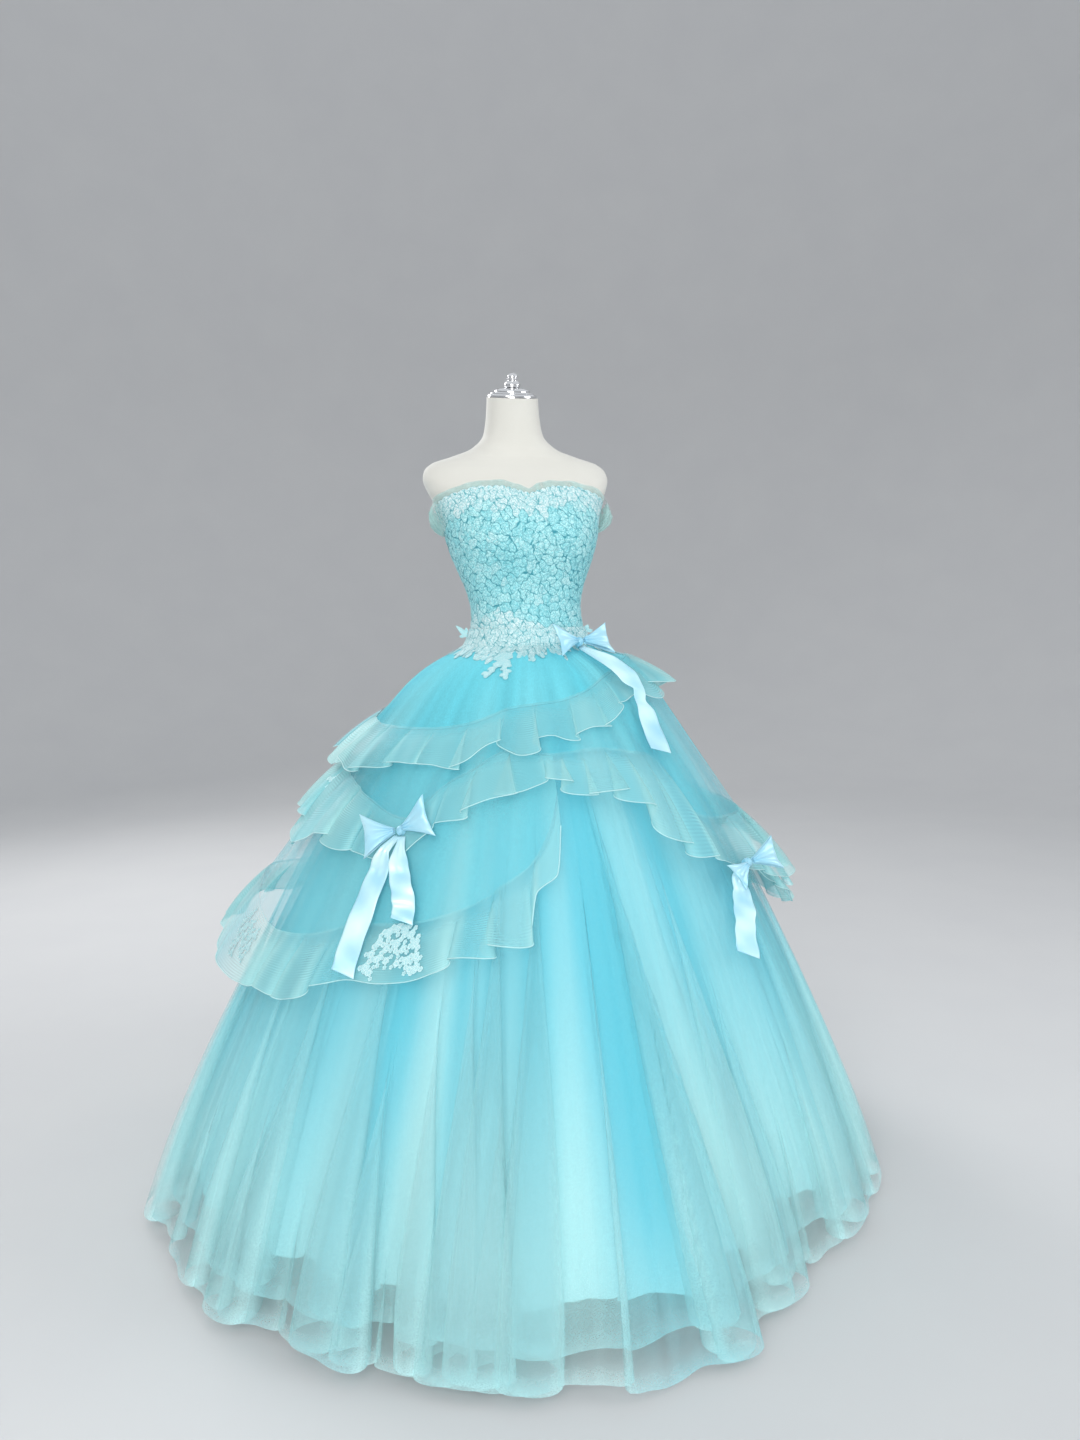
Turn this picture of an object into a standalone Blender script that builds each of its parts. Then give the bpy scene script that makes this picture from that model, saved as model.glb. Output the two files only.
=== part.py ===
"""Strapless ball gown on a limbless dress form, in metres, +Z up.

The front of the gown faces -Y and the wearer's left is +X. The origin is the centre of the
stand's underside. Azimuths are in degrees about the Z axis: 0 is the centre front, 90 is +X
and 180 the centre back. Every cloth piece is a thin wall whose outer face is a grid of points,
rows from the top down and columns towards higher azimuths.
"""

import math
from collections import namedtuple

import bpy
import numpy as np
from mathutils import Matrix

# Driving sizes.
WAIST_SEAM = 1.028
HEM = 0.010
UNDERSKIRT_HEM = 0.085
SKIRT_FOLDS = 34
SAMPLES_PER_FOLD = 4
SEAM_GAP = 0.0004
SATIN = 0.0016
NET = 0.0012
LACE = 0.0012
RIBBON = 0.0012
FORM_CLEARANCE = 0.0006

BASE_RADIUS = 0.200
BASE_HEIGHT = 0.016
POLE_RADIUS = 0.016
FORM_BOTTOM = 0.880

Finish = namedtuple("Finish", "colour roughness metallic")
FINISHES = {
    "form_cloth": Finish((0.86, 0.85, 0.80), 0.75, 0.0),
    "chrome": Finish((0.80, 0.80, 0.80), 0.12, 1.0),
    "stand_metal": Finish((0.78, 0.78, 0.78), 0.35, 1.0),
    "aqua_lace": Finish((0.30, 0.76, 0.82), 0.55, 0.0),
    "aqua_tulle": Finish((0.42, 0.82, 0.86), 0.80, 0.0),
    "white_net": Finish((0.74, 0.90, 0.90), 0.85, 0.0),
    "organza": Finish((0.50, 0.78, 0.80), 0.60, 0.0),
    "white_lace": Finish((0.72, 0.91, 0.92), 0.80, 0.0),
    "blue_satin": Finish((0.55, 0.74, 0.88), 0.35, 0.0),
}


def smooth_curve(xs, ys, x):
    """A monotone cubic through a table's rows, which never overshoots them."""
    xs, ys = np.asarray(xs, float), np.asarray(ys, float)
    step = np.diff(xs)
    slope = np.diff(ys) / step
    tangent = np.zeros(len(xs))
    same_way = slope[:-1] * slope[1:] > 0
    w1, w2 = 2 * step[1:] + step[:-1], step[1:] + 2 * step[:-1]
    before, after = np.where(same_way, slope[:-1], 1.0), np.where(same_way, slope[1:], 1.0)
    tangent[1:-1] = np.where(same_way, (w1 + w2) / (w1 / before + w2 / after), 0.0)
    tangent[0], tangent[-1] = slope[0], slope[-1]
    i = np.clip(np.searchsorted(xs, x, side="right") - 1, 0, len(step) - 1)
    t = np.clip((x - xs[i]) / step[i], 0.0, 1.0)
    return (
        ys[i] * (1 + 2 * t) * (1 - t) ** 2
        + tangent[i] * step[i] * t * (1 - t) ** 2
        + ys[i + 1] * t * t * (3 - 2 * t)
        + tangent[i + 1] * step[i] * t * t * (t - 1)
    )


def column(rows, name, x, key="azimuth", turn=0):
    """One named column of a table at x. With turn set, the table repeats every turn."""
    xs = [getattr(row, key) for row in rows]
    ys = [getattr(row, name) for row in rows]
    if turn:
        xs = [x0 - turn for x0 in xs] + xs + [x0 + turn for x0 in xs]
        ys = ys * 3
    return smooth_curve(xs, ys, np.asarray(x, float))


def smoothstep(t):
    t = np.clip(t, 0.0, 1.0)
    return t * t * (3 - 2 * t)


def wrapped(azimuth):
    """The same direction between -180 and 180 degrees."""
    return (np.asarray(azimuth, float) + 180.0) % 360.0 - 180.0


def bump(azimuth, centre, spread):
    """1 at the centre, falling off round the body like a bell."""
    return np.exp(-0.5 * (wrapped(azimuth - centre) / spread) ** 2)


def polar(azimuth, radius, height):
    """Points at these azimuths, radii and heights."""
    turn, radius, height = np.broadcast_arrays(np.radians(azimuth), radius, height)
    return np.stack([radius * np.sin(turn), -radius * np.cos(turn), height], axis=-1)


def even_azimuths(count):
    return np.arange(count) * 360.0 / count - 180.0


def finish(name):
    material = bpy.data.materials.get(name)
    if material is None:
        look = FINISHES[name]
        material = bpy.data.materials.new(name)
        material.use_nodes = True
        shader = material.node_tree.nodes["Principled BSDF"]
        shader.inputs["Base Color"].default_value = (*look.colour, 1.0)
        shader.inputs["Roughness"].default_value = look.roughness
        shader.inputs["Metallic"].default_value = look.metallic
        material.diffuse_color = (*look.colour, 1.0)
    return material


def grid_faces(rows, columns, around):
    """Triangles between the rows of a grid, facing out, all split along the same diagonal."""
    faces = []
    for i in range(rows - 1):
        for j in range(columns if around else columns - 1):
            k = (j + 1) % columns
            a, b, c, d = i * columns + j, i * columns + k, (i + 1) * columns + k, (i + 1) * columns + j
            faces += [(a, d, c), (a, c, b)]
    return faces


def put(name, points, faces, material):
    """A smooth-shaded object with its material."""
    mesh = bpy.data.meshes.new(name)
    mesh.from_pydata(np.asarray(points, float).reshape(-1, 3).tolist(), [], faces)
    obj = bpy.data.objects.new(name, mesh)
    bpy.context.scene.collection.objects.link(obj)
    mesh.materials.append(finish(material))
    mesh.shade_smooth()
    return obj


def cloth(name, grid, thickness, material, around=False):
    """A wall of cloth behind the grid of its outer face."""
    obj = put(name, grid, grid_faces(*grid.shape[:2], around), material)
    wall = obj.modifiers.new("wall", "SOLIDIFY")
    wall.thickness = thickness
    wall.offset = -1.0
    return obj


def solid(name, rings, material):
    """A solid from rings of points, top ring first, with a flat cap at each end."""
    rings = np.asarray(rings, float)
    rows, columns = rings.shape[:2]
    last = (rows - 1) * columns
    caps = [tuple(range(columns)), tuple(last + j for j in reversed(range(columns)))]
    obj = put(name, rings, grid_faces(rows, columns, True) + caps, material)
    obj.data.set_sharp_from_angle(angle=math.radians(45))
    return obj


# The dress form: a padded torso without limbs, on a pole and a round base.

# The figure's sections: half width, depth to the front and to the back, how far the centre
# lies behind the axis, and how far the ring tips forward, in degrees.
Section = namedtuple("Section", "height half_width front back behind tip")
TORSO = (
    Section(FORM_BOTTOM, 0.150, 0.108, 0.112, 0.000, 0),
    Section(0.940, 0.152, 0.108, 0.112, 0.000, 0),
    Section(0.990, 0.138, 0.101, 0.101, 0.000, 0),
    Section(WAIST_SEAM, 0.1165, 0.0915, 0.0870, 0.000, 0),
    Section(1.060, 0.1075, 0.0850, 0.0800, 0.000, 0),
    Section(1.095, 0.1040, 0.0830, 0.0765, 0.000, 0),
    Section(1.130, 0.1100, 0.0860, 0.0790, 0.000, 0),
    Section(1.165, 0.1225, 0.0930, 0.0850, 0.000, 0),
    Section(1.200, 0.1350, 0.1010, 0.0910, 0.000, 0),
    Section(1.235, 0.1440, 0.1050, 0.0960, 0.000, 0),
    Section(1.265, 0.1500, 0.1030, 0.0980, 0.000, 0),
    Section(1.295, 0.1600, 0.0950, 0.0960, 0.002, 0),
    Section(1.322, 0.1740, 0.0850, 0.0890, 0.004, 0),
    Section(1.342, 0.1800, 0.0740, 0.0790, 0.006, 0),
    Section(1.358, 0.1760, 0.0660, 0.0720, 0.008, 1),
    Section(1.371, 0.1620, 0.0590, 0.0670, 0.010, 2),
    Section(1.385, 0.1220, 0.0530, 0.0620, 0.011, 4),
    Section(1.400, 0.0830, 0.0500, 0.0570, 0.011, 6),
    Section(1.426, 0.0570, 0.0510, 0.0530, 0.010, 8),
    Section(1.460, 0.0505, 0.0500, 0.0500, 0.004, 10),
    Section(1.494, 0.0480, 0.0480, 0.0480, -0.004, 12),
)
SECTION_SQUARENESS = 2.25
SIDE_LEAN = -0.045
BUST_HEIGHT = 1.232
BUST_RISE = 0.020
BUST_AZIMUTH = 32.0
BUST_SPREAD_DEG = 22.0
BUST_SPREAD = 0.042
TORSO_COLUMNS = 36

# The bodice's top edge, on one half: height against azimuth, alike on both sides.
Edge = namedtuple("Edge", "azimuth height")
BODICE_TOP = (
    Edge(0, 1.3080), Edge(14, 1.3155), Edge(32, 1.3225), Edge(48, 1.3220), Edge(62, 1.3130),
    Edge(80, 1.2970), Edge(95, 1.2870), Edge(125, 1.2760), Edge(180, 1.2700),
)
YOKE = 0.030
BODICE_LEVELS = (1.235, 1.200, 1.165, 1.130, 1.095, 1.060, WAIST_SEAM)
FORM_LEVELS_ABOVE = (1.494, 1.460, 1.426, 1.400, 1.385, 1.371, 1.358, 1.342)
FORM_LEVELS_BELOW = (0.990, 0.940, FORM_BOTTOM)

# Turned profiles: radius and height above what carries them, top edge first.
NECK_CAP = (
    (0.0190, 0.0175), (0.0260, 0.0160), (0.0330, 0.0130), (0.0340, 0.0100), (0.0420, 0.0085),
    (0.0420, 0.0060), (0.0465, 0.0040), (0.0465, 0.0000),
)
FINIAL = (
    (0.0040, 0.0262), (0.0075, 0.0235), (0.0100, 0.0215), (0.0100, 0.0195), (0.0085, 0.0180),
    (0.0105, 0.0172), (0.0105, 0.0150), (0.0090, 0.0135), (0.0120, 0.0105), (0.0155, 0.0065),
    (0.0150, 0.0030), (0.0120, 0.0000),
)
CAP_SIDES = 24
FINIAL_SIDES = 14
POLE_SIDES = 16
BASE_SIDES = 32
BASE_BEVEL = 0.005


def torso_radius(azimuth, height):
    """The figure's radius: a squared ellipse, with its own depth before and behind, and two cups."""
    sine, cosine = np.sin(np.radians(azimuth)), np.cos(np.radians(azimuth))
    half_width = column(TORSO, "half_width", height, "height")
    front, back = (column(TORSO, name, height, "height") for name in ("front", "back"))
    depth = np.where(cosine > 0, front, back)
    power = SECTION_SQUARENESS
    radius = (np.abs(sine / half_width) ** power + np.abs(cosine / depth) ** power) ** (-1 / power)
    level = np.exp(-0.5 * ((height - BUST_HEIGHT) / BUST_SPREAD) ** 2)
    cups = sum(bump(azimuth, side * BUST_AZIMUTH, BUST_SPREAD_DEG) for side in (-1, 1))
    return radius + BUST_RISE * level * cups


def torso_points(azimuth, height, out=0.0):
    """Points on the figure, moved out, each ring set back and tipped, the whole leaning aside."""
    points = polar(azimuth, torso_radius(azimuth, height) + out, height)
    behind = column(TORSO, "behind", height, "height")
    tip = np.radians(column(TORSO, "tip", height, "height"))
    lean = SIDE_LEAN * np.maximum(height - WAIST_SEAM, 0.0)
    x, y, z = points[..., 0], points[..., 1], points[..., 2]
    return np.stack([x + lean, y * np.cos(tip) + behind, z + y * np.sin(tip)], axis=-1)


def bodice_top(azimuth):
    return column(BODICE_TOP, "height", np.abs(wrapped(azimuth)))


def bodice_heights(azimuth):
    """The bodice's rows of heights: the top edge, the yoke line and the level rows under it."""
    top = bodice_top(azimuth)
    return [top, top - YOKE] + [np.full(len(azimuth), level) for level in BODICE_LEVELS]


def turned(name, profile, sides, material, place=None):
    azimuth = even_azimuths(sides)
    obj = solid(name, [polar(azimuth, radius, height) for radius, height in profile], material)
    if place is not None:
        obj.data.transform(place)
    return obj


def make_form():
    azimuth = even_azimuths(TORSO_COLUMNS)
    above = [np.full(TORSO_COLUMNS, level) for level in FORM_LEVELS_ABOVE]
    between = [(above[-1] + bodice_top(azimuth)) / 2]
    below = [np.full(TORSO_COLUMNS, level) for level in FORM_LEVELS_BELOW]
    rows = above + between + bodice_heights(azimuth) + below
    solid("form_torso", [torso_points(azimuth, height) for height in rows], "form_cloth")

    neck = TORSO[-1]
    centre = (SIDE_LEAN * (neck.height - WAIST_SEAM), neck.behind, neck.height)
    on_neck = (
        Matrix.Translation(centre)
        @ Matrix.Rotation(math.radians(neck.tip), 4, "X")
        @ Matrix.Translation((0.0, 0.0, SEAM_GAP))
    )
    turned("form_neck_cap", NECK_CAP, CAP_SIDES, "chrome", on_neck)
    on_cap = on_neck @ Matrix.Translation((0.0, 0.0, NECK_CAP[0][1] + SEAM_GAP))
    turned("form_finial", FINIAL, FINIAL_SIDES, "chrome", on_cap)

    pole = ((POLE_RADIUS, FORM_BOTTOM - SEAM_GAP), (POLE_RADIUS, BASE_HEIGHT + SEAM_GAP))
    turned("stand_pole", pole, POLE_SIDES, "stand_metal")
    base = (
        (BASE_RADIUS - 2 * BASE_BEVEL, BASE_HEIGHT),
        (BASE_RADIUS - BASE_BEVEL / 2, BASE_HEIGHT - BASE_BEVEL),
        (BASE_RADIUS, BASE_HEIGHT - 2 * BASE_BEVEL),
        (BASE_RADIUS, 0.0),
    )
    turned("stand_base", base, BASE_SIDES, "stand_metal")


# The bodice: a front and two backs of lace over satin, cut at the sides and the centre back.

Cut = namedtuple("Cut", "name start end")
BODICE_CUTS = (
    Cut("bodice_front", -90, 90),
    Cut("bodice_back_left", 90, 180),
    Cut("bodice_back_right", 180, 270),
)
SEAM_HALF_DEG = 0.14
TOP_EDGE_EASE = 0.0016


def make_bodice():
    step = 360.0 / TORSO_COLUMNS
    for cut in BODICE_CUTS:
        azimuth = np.arange(cut.start, cut.end + step / 2, step)
        azimuth[0] += SEAM_HALF_DEG
        azimuth[-1] -= SEAM_HALF_DEG
        heights = bodice_heights(azimuth)
        ease = [TOP_EDGE_EASE] + [0.0] * (len(heights) - 1)
        out = FORM_CLEARANCE + SATIN
        rows = [torso_points(azimuth, height, out + extra) for height, extra in zip(heights, ease)]
        cloth(cut.name, np.stack(rows), SATIN, "aqua_lace")


# The neckline: a sheer band standing above the lace, puffed over the edge under each arm.

BAND_RISE = 0.010
PUFF_START, PUFF_END = 62.0, 114.0
PUFF_COLUMNS = 8
PUFF_ROWS = 5
PUFF_DROP = 0.052
PUFF_END_DROP = 0.55
PUFF_OUT = 0.016
PUFF_TOP_LOFT = 0.08
PUFF_CLEARANCE = 0.0003


def make_neckline():
    azimuth = even_azimuths(TORSO_COLUMNS)
    top = bodice_top(azimuth)
    out = FORM_CLEARANCE + TOP_EDGE_EASE + NET
    rows = [torso_points(azimuth, top + rise, out) for rise in (BAND_RISE, 2 * SEAM_GAP)]
    cloth("neckline_band", np.stack(rows), NET, "organza", around=True)

    on_bodice = FORM_CLEARANCE + SATIN + TOP_EDGE_EASE + NET + PUFF_CLEARANCE
    for name, side in (("side_puff_left", 1), ("side_puff_right", -1)):
        azimuth = side * np.linspace(PUFF_START, PUFF_END, PUFF_COLUMNS)[::side]
        across = np.sin(np.linspace(0.0, np.pi, PUFF_COLUMNS)) ** 0.6
        top = bodice_top(azimuth)
        rows = []
        for share in np.linspace(0.0, 1.0, PUFF_ROWS):
            loft = np.sin(np.pi * (PUFF_TOP_LOFT + (1 - PUFF_TOP_LOFT) * share))
            bulge = PUFF_OUT * across * loft ** 0.8
            drop = PUFF_DROP * share * (PUFF_END_DROP + (1 - PUFF_END_DROP) * across)
            rows.append(torso_points(azimuth, top - 2 * SEAM_GAP - drop, on_bodice + bulge))
        cloth(name, np.stack(rows), NET, "organza")


# The skirt: a folded tulle skirt over a net underskirt.

# The skirt's mean radius and the depth of its folds at each height.
Ring = namedtuple("Ring", "height radius fold")
SKIRT = (
    Ring(HEM, 0.672, 0.030), Ring(0.150, 0.630, 0.026), Ring(0.300, 0.574, 0.022),
    Ring(0.400, 0.532, 0.019), Ring(0.500, 0.487, 0.016), Ring(0.600, 0.438, 0.013),
    Ring(0.680, 0.396, 0.011), Ring(0.780, 0.336, 0.009), Ring(0.830, 0.302, 0.008),
    Ring(0.906, 0.248, 0.006), Ring(0.957, 0.208, 0.004), Ring(1.000, 0.160, 0.002),
    Ring(1.015, 0.138, 0.001), Ring(WAIST_SEAM, 0.1165, 0.0003),
)
SWAY = 0.05
GATHER_LEVEL = 1.004
ROUND_DROP = 0.050
SKIRT_LEVELS = (WAIST_SEAM - SEAM_GAP, GATHER_LEVEL, 0.940, 0.800, 0.590, 0.320, HEM)
UNDERSKIRT_LEVELS = (WAIST_SEAM - SEAM_GAP, 0.940, 0.800, 0.590, UNDERSKIRT_HEM)
UNDERSKIRT_COLUMNS = 60
UNDERSKIRT_INSET = 0.012
UNDER_FOLDS = 1.15
UNDERSKIRT_FOLD = 0.7

# Where the lower skirt swings out or in: centre and spread in azimuth, and how far at the hem.
Swell = namedtuple("Swell", "azimuth spread out")
SWELLS = (
    Swell(-3, 17, 0.030), Swell(31, 13, -0.038), Swell(-82, 20, 0.018), Swell(-38, 12, -0.014),
    Swell(150, 26, 0.022),
)
SWELL_TOP = 0.80

# Folds and gathers are spaced unevenly, by waves of this many cycles round the body.
Drift = namedtuple("Drift", "amount cycles start")
FOLD_DRIFT = (Drift(1.1, 2, 0.7), Drift(0.7, 5, 2.1))
GATHER_DRIFT = (Drift(0.9, 3, 0.0), Drift(0.5, 7, 0.0))

# How far the outer face of each gathered layer stands off the figure at the waist seam.
WAIST_STEPS = {"underskirt": 0.0019, "skirt": 0.0050, "overskirt": 0.0084}


def layer_share(height):
    """0 at the waist seam, where the layers are gathered together, and 1 where they part."""
    return smoothstep((WAIST_SEAM - height) / (WAIST_SEAM - GATHER_LEVEL))


def at_waist(height, layer):
    return WAIST_STEPS[layer] * (1 - layer_share(height))


def skirt_radius(azimuth, height):
    """The skirt's mean radius: the figure's section at the waist, then nearly round."""
    height = np.asarray(height, float)
    sway = 1 - SWAY * np.sin(np.radians(azimuth))
    full = column(SKIRT, "radius", height, "height") * sway
    drop = np.clip((SWELL_TOP - height) / (SWELL_TOP - HEM), 0.0, 1.0)
    for swell in SWELLS:
        full = full + swell.out * drop * bump(azimuth, swell.azimuth, swell.spread)
    seam_ring = SKIRT[-1].radius * sway
    waist = torso_radius(azimuth, np.full(np.shape(height), WAIST_SEAM)) + full - seam_ring
    spread = smoothstep((WAIST_SEAM - height) / ROUND_DROP)
    return waist * (1 - spread) + full * spread


def fold_depth(height):
    return column(SKIRT, "fold", height, "height")


def drift(table, azimuth, start=0.0):
    """How far the folds' spacing has drifted from even at each azimuth, in radians of phase."""
    turn = np.radians(azimuth)
    return sum(row.amount * np.sin(row.cycles * turn + row.start + start) for row in table)


def fold_phase(azimuth):
    """How far round its folds the skirt has got: wider folds here, narrower ones there."""
    return SKIRT_FOLDS * np.radians(azimuth) + drift(FOLD_DRIFT, azimuth)


def even_phase(phase, count, low=-180.0, high=180.0):
    """Azimuths between which a wave advances by equal steps, count of them with both ends."""
    fine = np.linspace(low, high, 3601)
    reached = phase(fine)
    return np.interp(np.linspace(reached[0], reached[-1], count), reached, fine)


def make_skirt():
    azimuth = even_phase(fold_phase, SKIRT_FOLDS * SAMPLES_PER_FOLD + 1)[:-1]
    fold = np.cos(fold_phase(azimuth))
    rows = []
    for height in SKIRT_LEVELS:
        radius = skirt_radius(azimuth, height) + fold_depth(height) * fold + at_waist(height, "skirt")
        rows.append(polar(azimuth, radius, height))
    cloth("skirt_tulle", np.stack(rows), NET, "aqua_tulle", around=True)

    azimuth = even_azimuths(UNDERSKIRT_COLUMNS)
    trough = np.arange(len(azimuth)) % 2
    rows = []
    for height in UNDERSKIRT_LEVELS:
        inset = (UNDER_FOLDS * fold_depth(height) + UNDERSKIRT_INSET) * layer_share(height)
        folds = UNDERSKIRT_FOLD * fold_depth(height) * trough
        radius = skirt_radius(azimuth, height) - inset - folds
        rows.append(polar(azimuth, radius + at_waist(height, "underskirt"), height))
    cloth("underskirt_net", np.stack(rows), NET, "white_net", around=True)


# The overskirt: three tiers of tulle swagged up by bows, each with a gathered flounce.

# Round a tier: the height of its seam and of the flounce's hem, how far that hem reaches out
# from the seam, and how far the seam billows off the skirt.
Stage = namedtuple("Stage", "azimuth seam hem reach billow")
UPPER_STAGES = (
    Stage(-150, 0.935, 0.860, 0.018, 0.006), Stage(-120, 0.915, 0.835, 0.030, 0.010),
    Stage(-98, 0.888, 0.815, 0.040, 0.014), Stage(-75, 0.880, 0.803, 0.024, 0.010),
    Stage(-50, 0.880, 0.808, 0.014, 0.006), Stage(-35, 0.895, 0.828, 0.010, 0.004),
    Stage(-20, 0.925, 0.862, 0.008, 0.003), Stage(0, 0.935, 0.876, 0.008, 0.003),
    Stage(14, 0.950, 0.898, 0.008, 0.003), Stage(27, 0.968, 0.924, 0.008, 0.002),
    Stage(42, 0.980, 0.940, 0.012, 0.001), Stage(58, 0.984, 0.950, 0.032, 0.001),
    Stage(74, 0.984, 0.958, 0.066, 0.001), Stage(92, 0.980, 0.945, 0.048, 0.001),
    Stage(120, 0.970, 0.912, 0.024, 0.003), Stage(160, 0.955, 0.880, 0.014, 0.005),
)
MIDDLE_STAGES = (
    Stage(-165, 0.805, 0.725, 0.018, 0.010), Stage(-130, 0.800, 0.715, 0.026, 0.012),
    Stage(-98, 0.792, 0.700, 0.056, 0.014), Stage(-78, 0.785, 0.698, 0.034, 0.010),
    Stage(-60, 0.768, 0.692, 0.014, 0.006), Stage(-46, 0.750, 0.690, 0.008, 0.004),
    Stage(-38, 0.800, 0.734, 0.008, 0.004), Stage(-29, 0.832, 0.772, 0.010, 0.004),
    Stage(-21, 0.856, 0.803, 0.012, 0.004), Stage(-6, 0.850, 0.796, 0.012, 0.004),
    Stage(8, 0.855, 0.798, 0.012, 0.004), Stage(16, 0.850, 0.780, 0.012, 0.004),
    Stage(23, 0.842, 0.700, 0.016, 0.004), Stage(29, 0.836, 0.664, 0.018, 0.004),
    Stage(37, 0.732, 0.655, 0.014, 0.004), Stage(44, 0.716, 0.636, 0.010, 0.004),
    Stage(56, 0.708, 0.600, 0.022, 0.004), Stage(72, 0.700, 0.560, 0.042, 0.006),
    Stage(92, 0.702, 0.600, 0.034, 0.008), Stage(120, 0.735, 0.650, 0.022, 0.008),
    Stage(155, 0.780, 0.700, 0.016, 0.010),
)
LOWER_STAGES = (
    Stage(-306, 0.686, 0.640, 0.000, 0.001), Stage(-300, 0.650, 0.585, 0.004, 0.002),
    Stage(-288, 0.600, 0.525, 0.010, 0.004), Stage(-268, 0.570, 0.490, 0.016, 0.008),
    Stage(-240, 0.545, 0.465, 0.018, 0.012), Stage(-200, 0.525, 0.445, 0.018, 0.014),
    Stage(-160, 0.530, 0.450, 0.020, 0.018), Stage(-125, 0.545, 0.465, 0.024, 0.036),
    Stage(-97, 0.532, 0.452, 0.030, 0.062), Stage(-84, 0.535, 0.448, 0.020, 0.040),
    Stage(-70, 0.552, 0.468, 0.016, 0.016), Stage(-60, 0.562, 0.482, 0.014, 0.010),
    Stage(-50, 0.588, 0.509, 0.012, 0.007), Stage(-36, 0.604, 0.526, 0.010, 0.006),
    Stage(-27, 0.626, 0.552, 0.010, 0.005), Stage(-22, 0.648, 0.576, 0.010, 0.004),
    Stage(-17, 0.668, 0.598, 0.010, 0.003), Stage(-12, 0.704, 0.628, 0.006, 0.002),
    Stage(-6, 0.792, 0.735, 0.001, 0.001),
)

# A flounce lies flat where a bow or a lace motif is stitched on it: azimuth and spread.
Pinch = namedtuple("Pinch", "azimuth spread")
Tier = namedtuple("Tier", "name stages closed bands crowding waves wave_depth pinches")
TIERS = (
    Tier("upper", UPPER_STAGES, True, 2, 1.0, 20, 0.016, (Pinch(34, 8),)),
    Tier("middle", MIDDLE_STAGES, True, 3, 1.5, 24, 0.018, (Pinch(-45, 9), Pinch(44, 8))),
    Tier("lower", LOWER_STAGES, False, 3, 1.2, 20, 0.018, (Pinch(-37, 8), Pinch(-90, 14))),
)
PANEL_STEP_DEG = 6.0
TIER_LIFT = 0.008
OVER_FOLDS = 1.1
STITCH_RISE = 0.004
FLOUNCE_CLEARANCE = 0.0009
FLOUNCE_SHARES = (0.0, 0.5, 1.0)
END_TAPER_DEG = 16.0


def own_azimuth(tier, azimuth):
    """The same directions in a tier's own range, in which an open tier ends at its last stage."""
    azimuth = wrapped(azimuth)
    if tier.closed:
        return azimuth
    return np.where(azimuth > tier.stages[-1].azimuth + 1e-6, azimuth - 360.0, azimuth)


def stage_value(tier, name, azimuth):
    return column(tier.stages, name, own_azimuth(tier, azimuth), turn=360 if tier.closed else 0)


def shell_radius(azimuth, height, lift, clear=0.0):
    """A layer laid over the skirt's folds: lifted off them below the gathers, clear all over."""
    over_folds = OVER_FOLDS * fold_depth(height) + lift
    radius = skirt_radius(azimuth, height) + over_folds * layer_share(height)
    return radius + at_waist(height, "overskirt") + clear


def panel_lift(index, azimuth, share):
    """How far a panel stands off the skirt, from the seam above it to its own seam."""
    above = stage_value(TIERS[index - 1], "billow", azimuth) if index else 0.0
    own = stage_value(TIERS[index], "billow", azimuth)
    return TIER_LIFT + above * (1 - share) ** 2 + own * share ** 1.5


def panel_heights(index, azimuth):
    """Rows of heights from the waist, or from just under the seam above, down to the seam."""
    tier = TIERS[index]
    seam = stage_value(tier, "seam", azimuth)
    if index == 0:
        top = np.full(np.shape(azimuth), GATHER_LEVEL)
        rows = [np.full(np.shape(azimuth), WAIST_SEAM - SEAM_GAP)]
    else:
        top = stage_value(TIERS[index - 1], "seam", azimuth) - 1.5 * SEAM_GAP
        rows = []
    for k in range(tier.bands + 1):
        rows.append(top + (seam - top) * (k / tier.bands) ** tier.crowding)
    return rows


def panel_points(index, azimuth, height):
    """Points of a tier's panel at these heights."""
    heights = panel_heights(index, azimuth)
    share = np.clip((heights[0] - height) / (heights[0] - heights[-1]), 0.0, 1.0)
    radius = shell_radius(azimuth, height, panel_lift(index, azimuth, share))
    return polar(azimuth, radius, height)


def flounce_phase(tier):
    """The gathers' phase round a tier, closer here and wider there."""
    span = 360.0 if tier.closed else tier.stages[-1].azimuth - tier.stages[0].azimuth

    def phase(azimuth):
        return tier.waves * 360.0 / span * np.radians(azimuth) + drift(GATHER_DRIFT, azimuth, tier.waves)

    return phase


def wave_depth(tier, azimuth):
    """A flounce's waves: flat under a bow or a motif, and shallow towards a tucked end."""
    depth = np.full(np.shape(azimuth), tier.wave_depth)
    for pinch in tier.pinches:
        depth = depth * (1 - bump(azimuth, pinch.azimuth, pinch.spread))
    if not tier.closed:
        from_start = azimuth - tier.stages[0].azimuth
        to_end = tier.stages[-1].azimuth - azimuth
        depth = depth * smoothstep(np.minimum(from_start, to_end) / END_TAPER_DEG)
    return depth


def flounce_radius(index, azimuth, height):
    """The radius of a tier's flounce, hung from its seam and reaching out to its hem."""
    tier = TIERS[index]
    top = stage_value(tier, "seam", azimuth) + STITCH_RISE
    share = np.clip((top - height) / (top - stage_value(tier, "hem", azimuth)), 0.0, 1.0)
    wave = 0.5 + 0.5 * np.cos(flounce_phase(tier)(azimuth))
    reach = stage_value(tier, "reach", azimuth) * share ** 1.3
    reach = reach + wave_depth(tier, azimuth) * wave * share
    lift = panel_lift(index, azimuth, 1.0)
    return shell_radius(azimuth, height, lift, NET + FLOUNCE_CLEARANCE + reach)


def flounce_columns(tier):
    low, high = (-180.0, 180.0) if tier.closed else (tier.stages[0].azimuth, tier.stages[-1].azimuth)
    azimuth = even_phase(flounce_phase(tier), tier.waves * SAMPLES_PER_FOLD + 1, low, high)
    return azimuth[:-1] if tier.closed else azimuth


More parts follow.
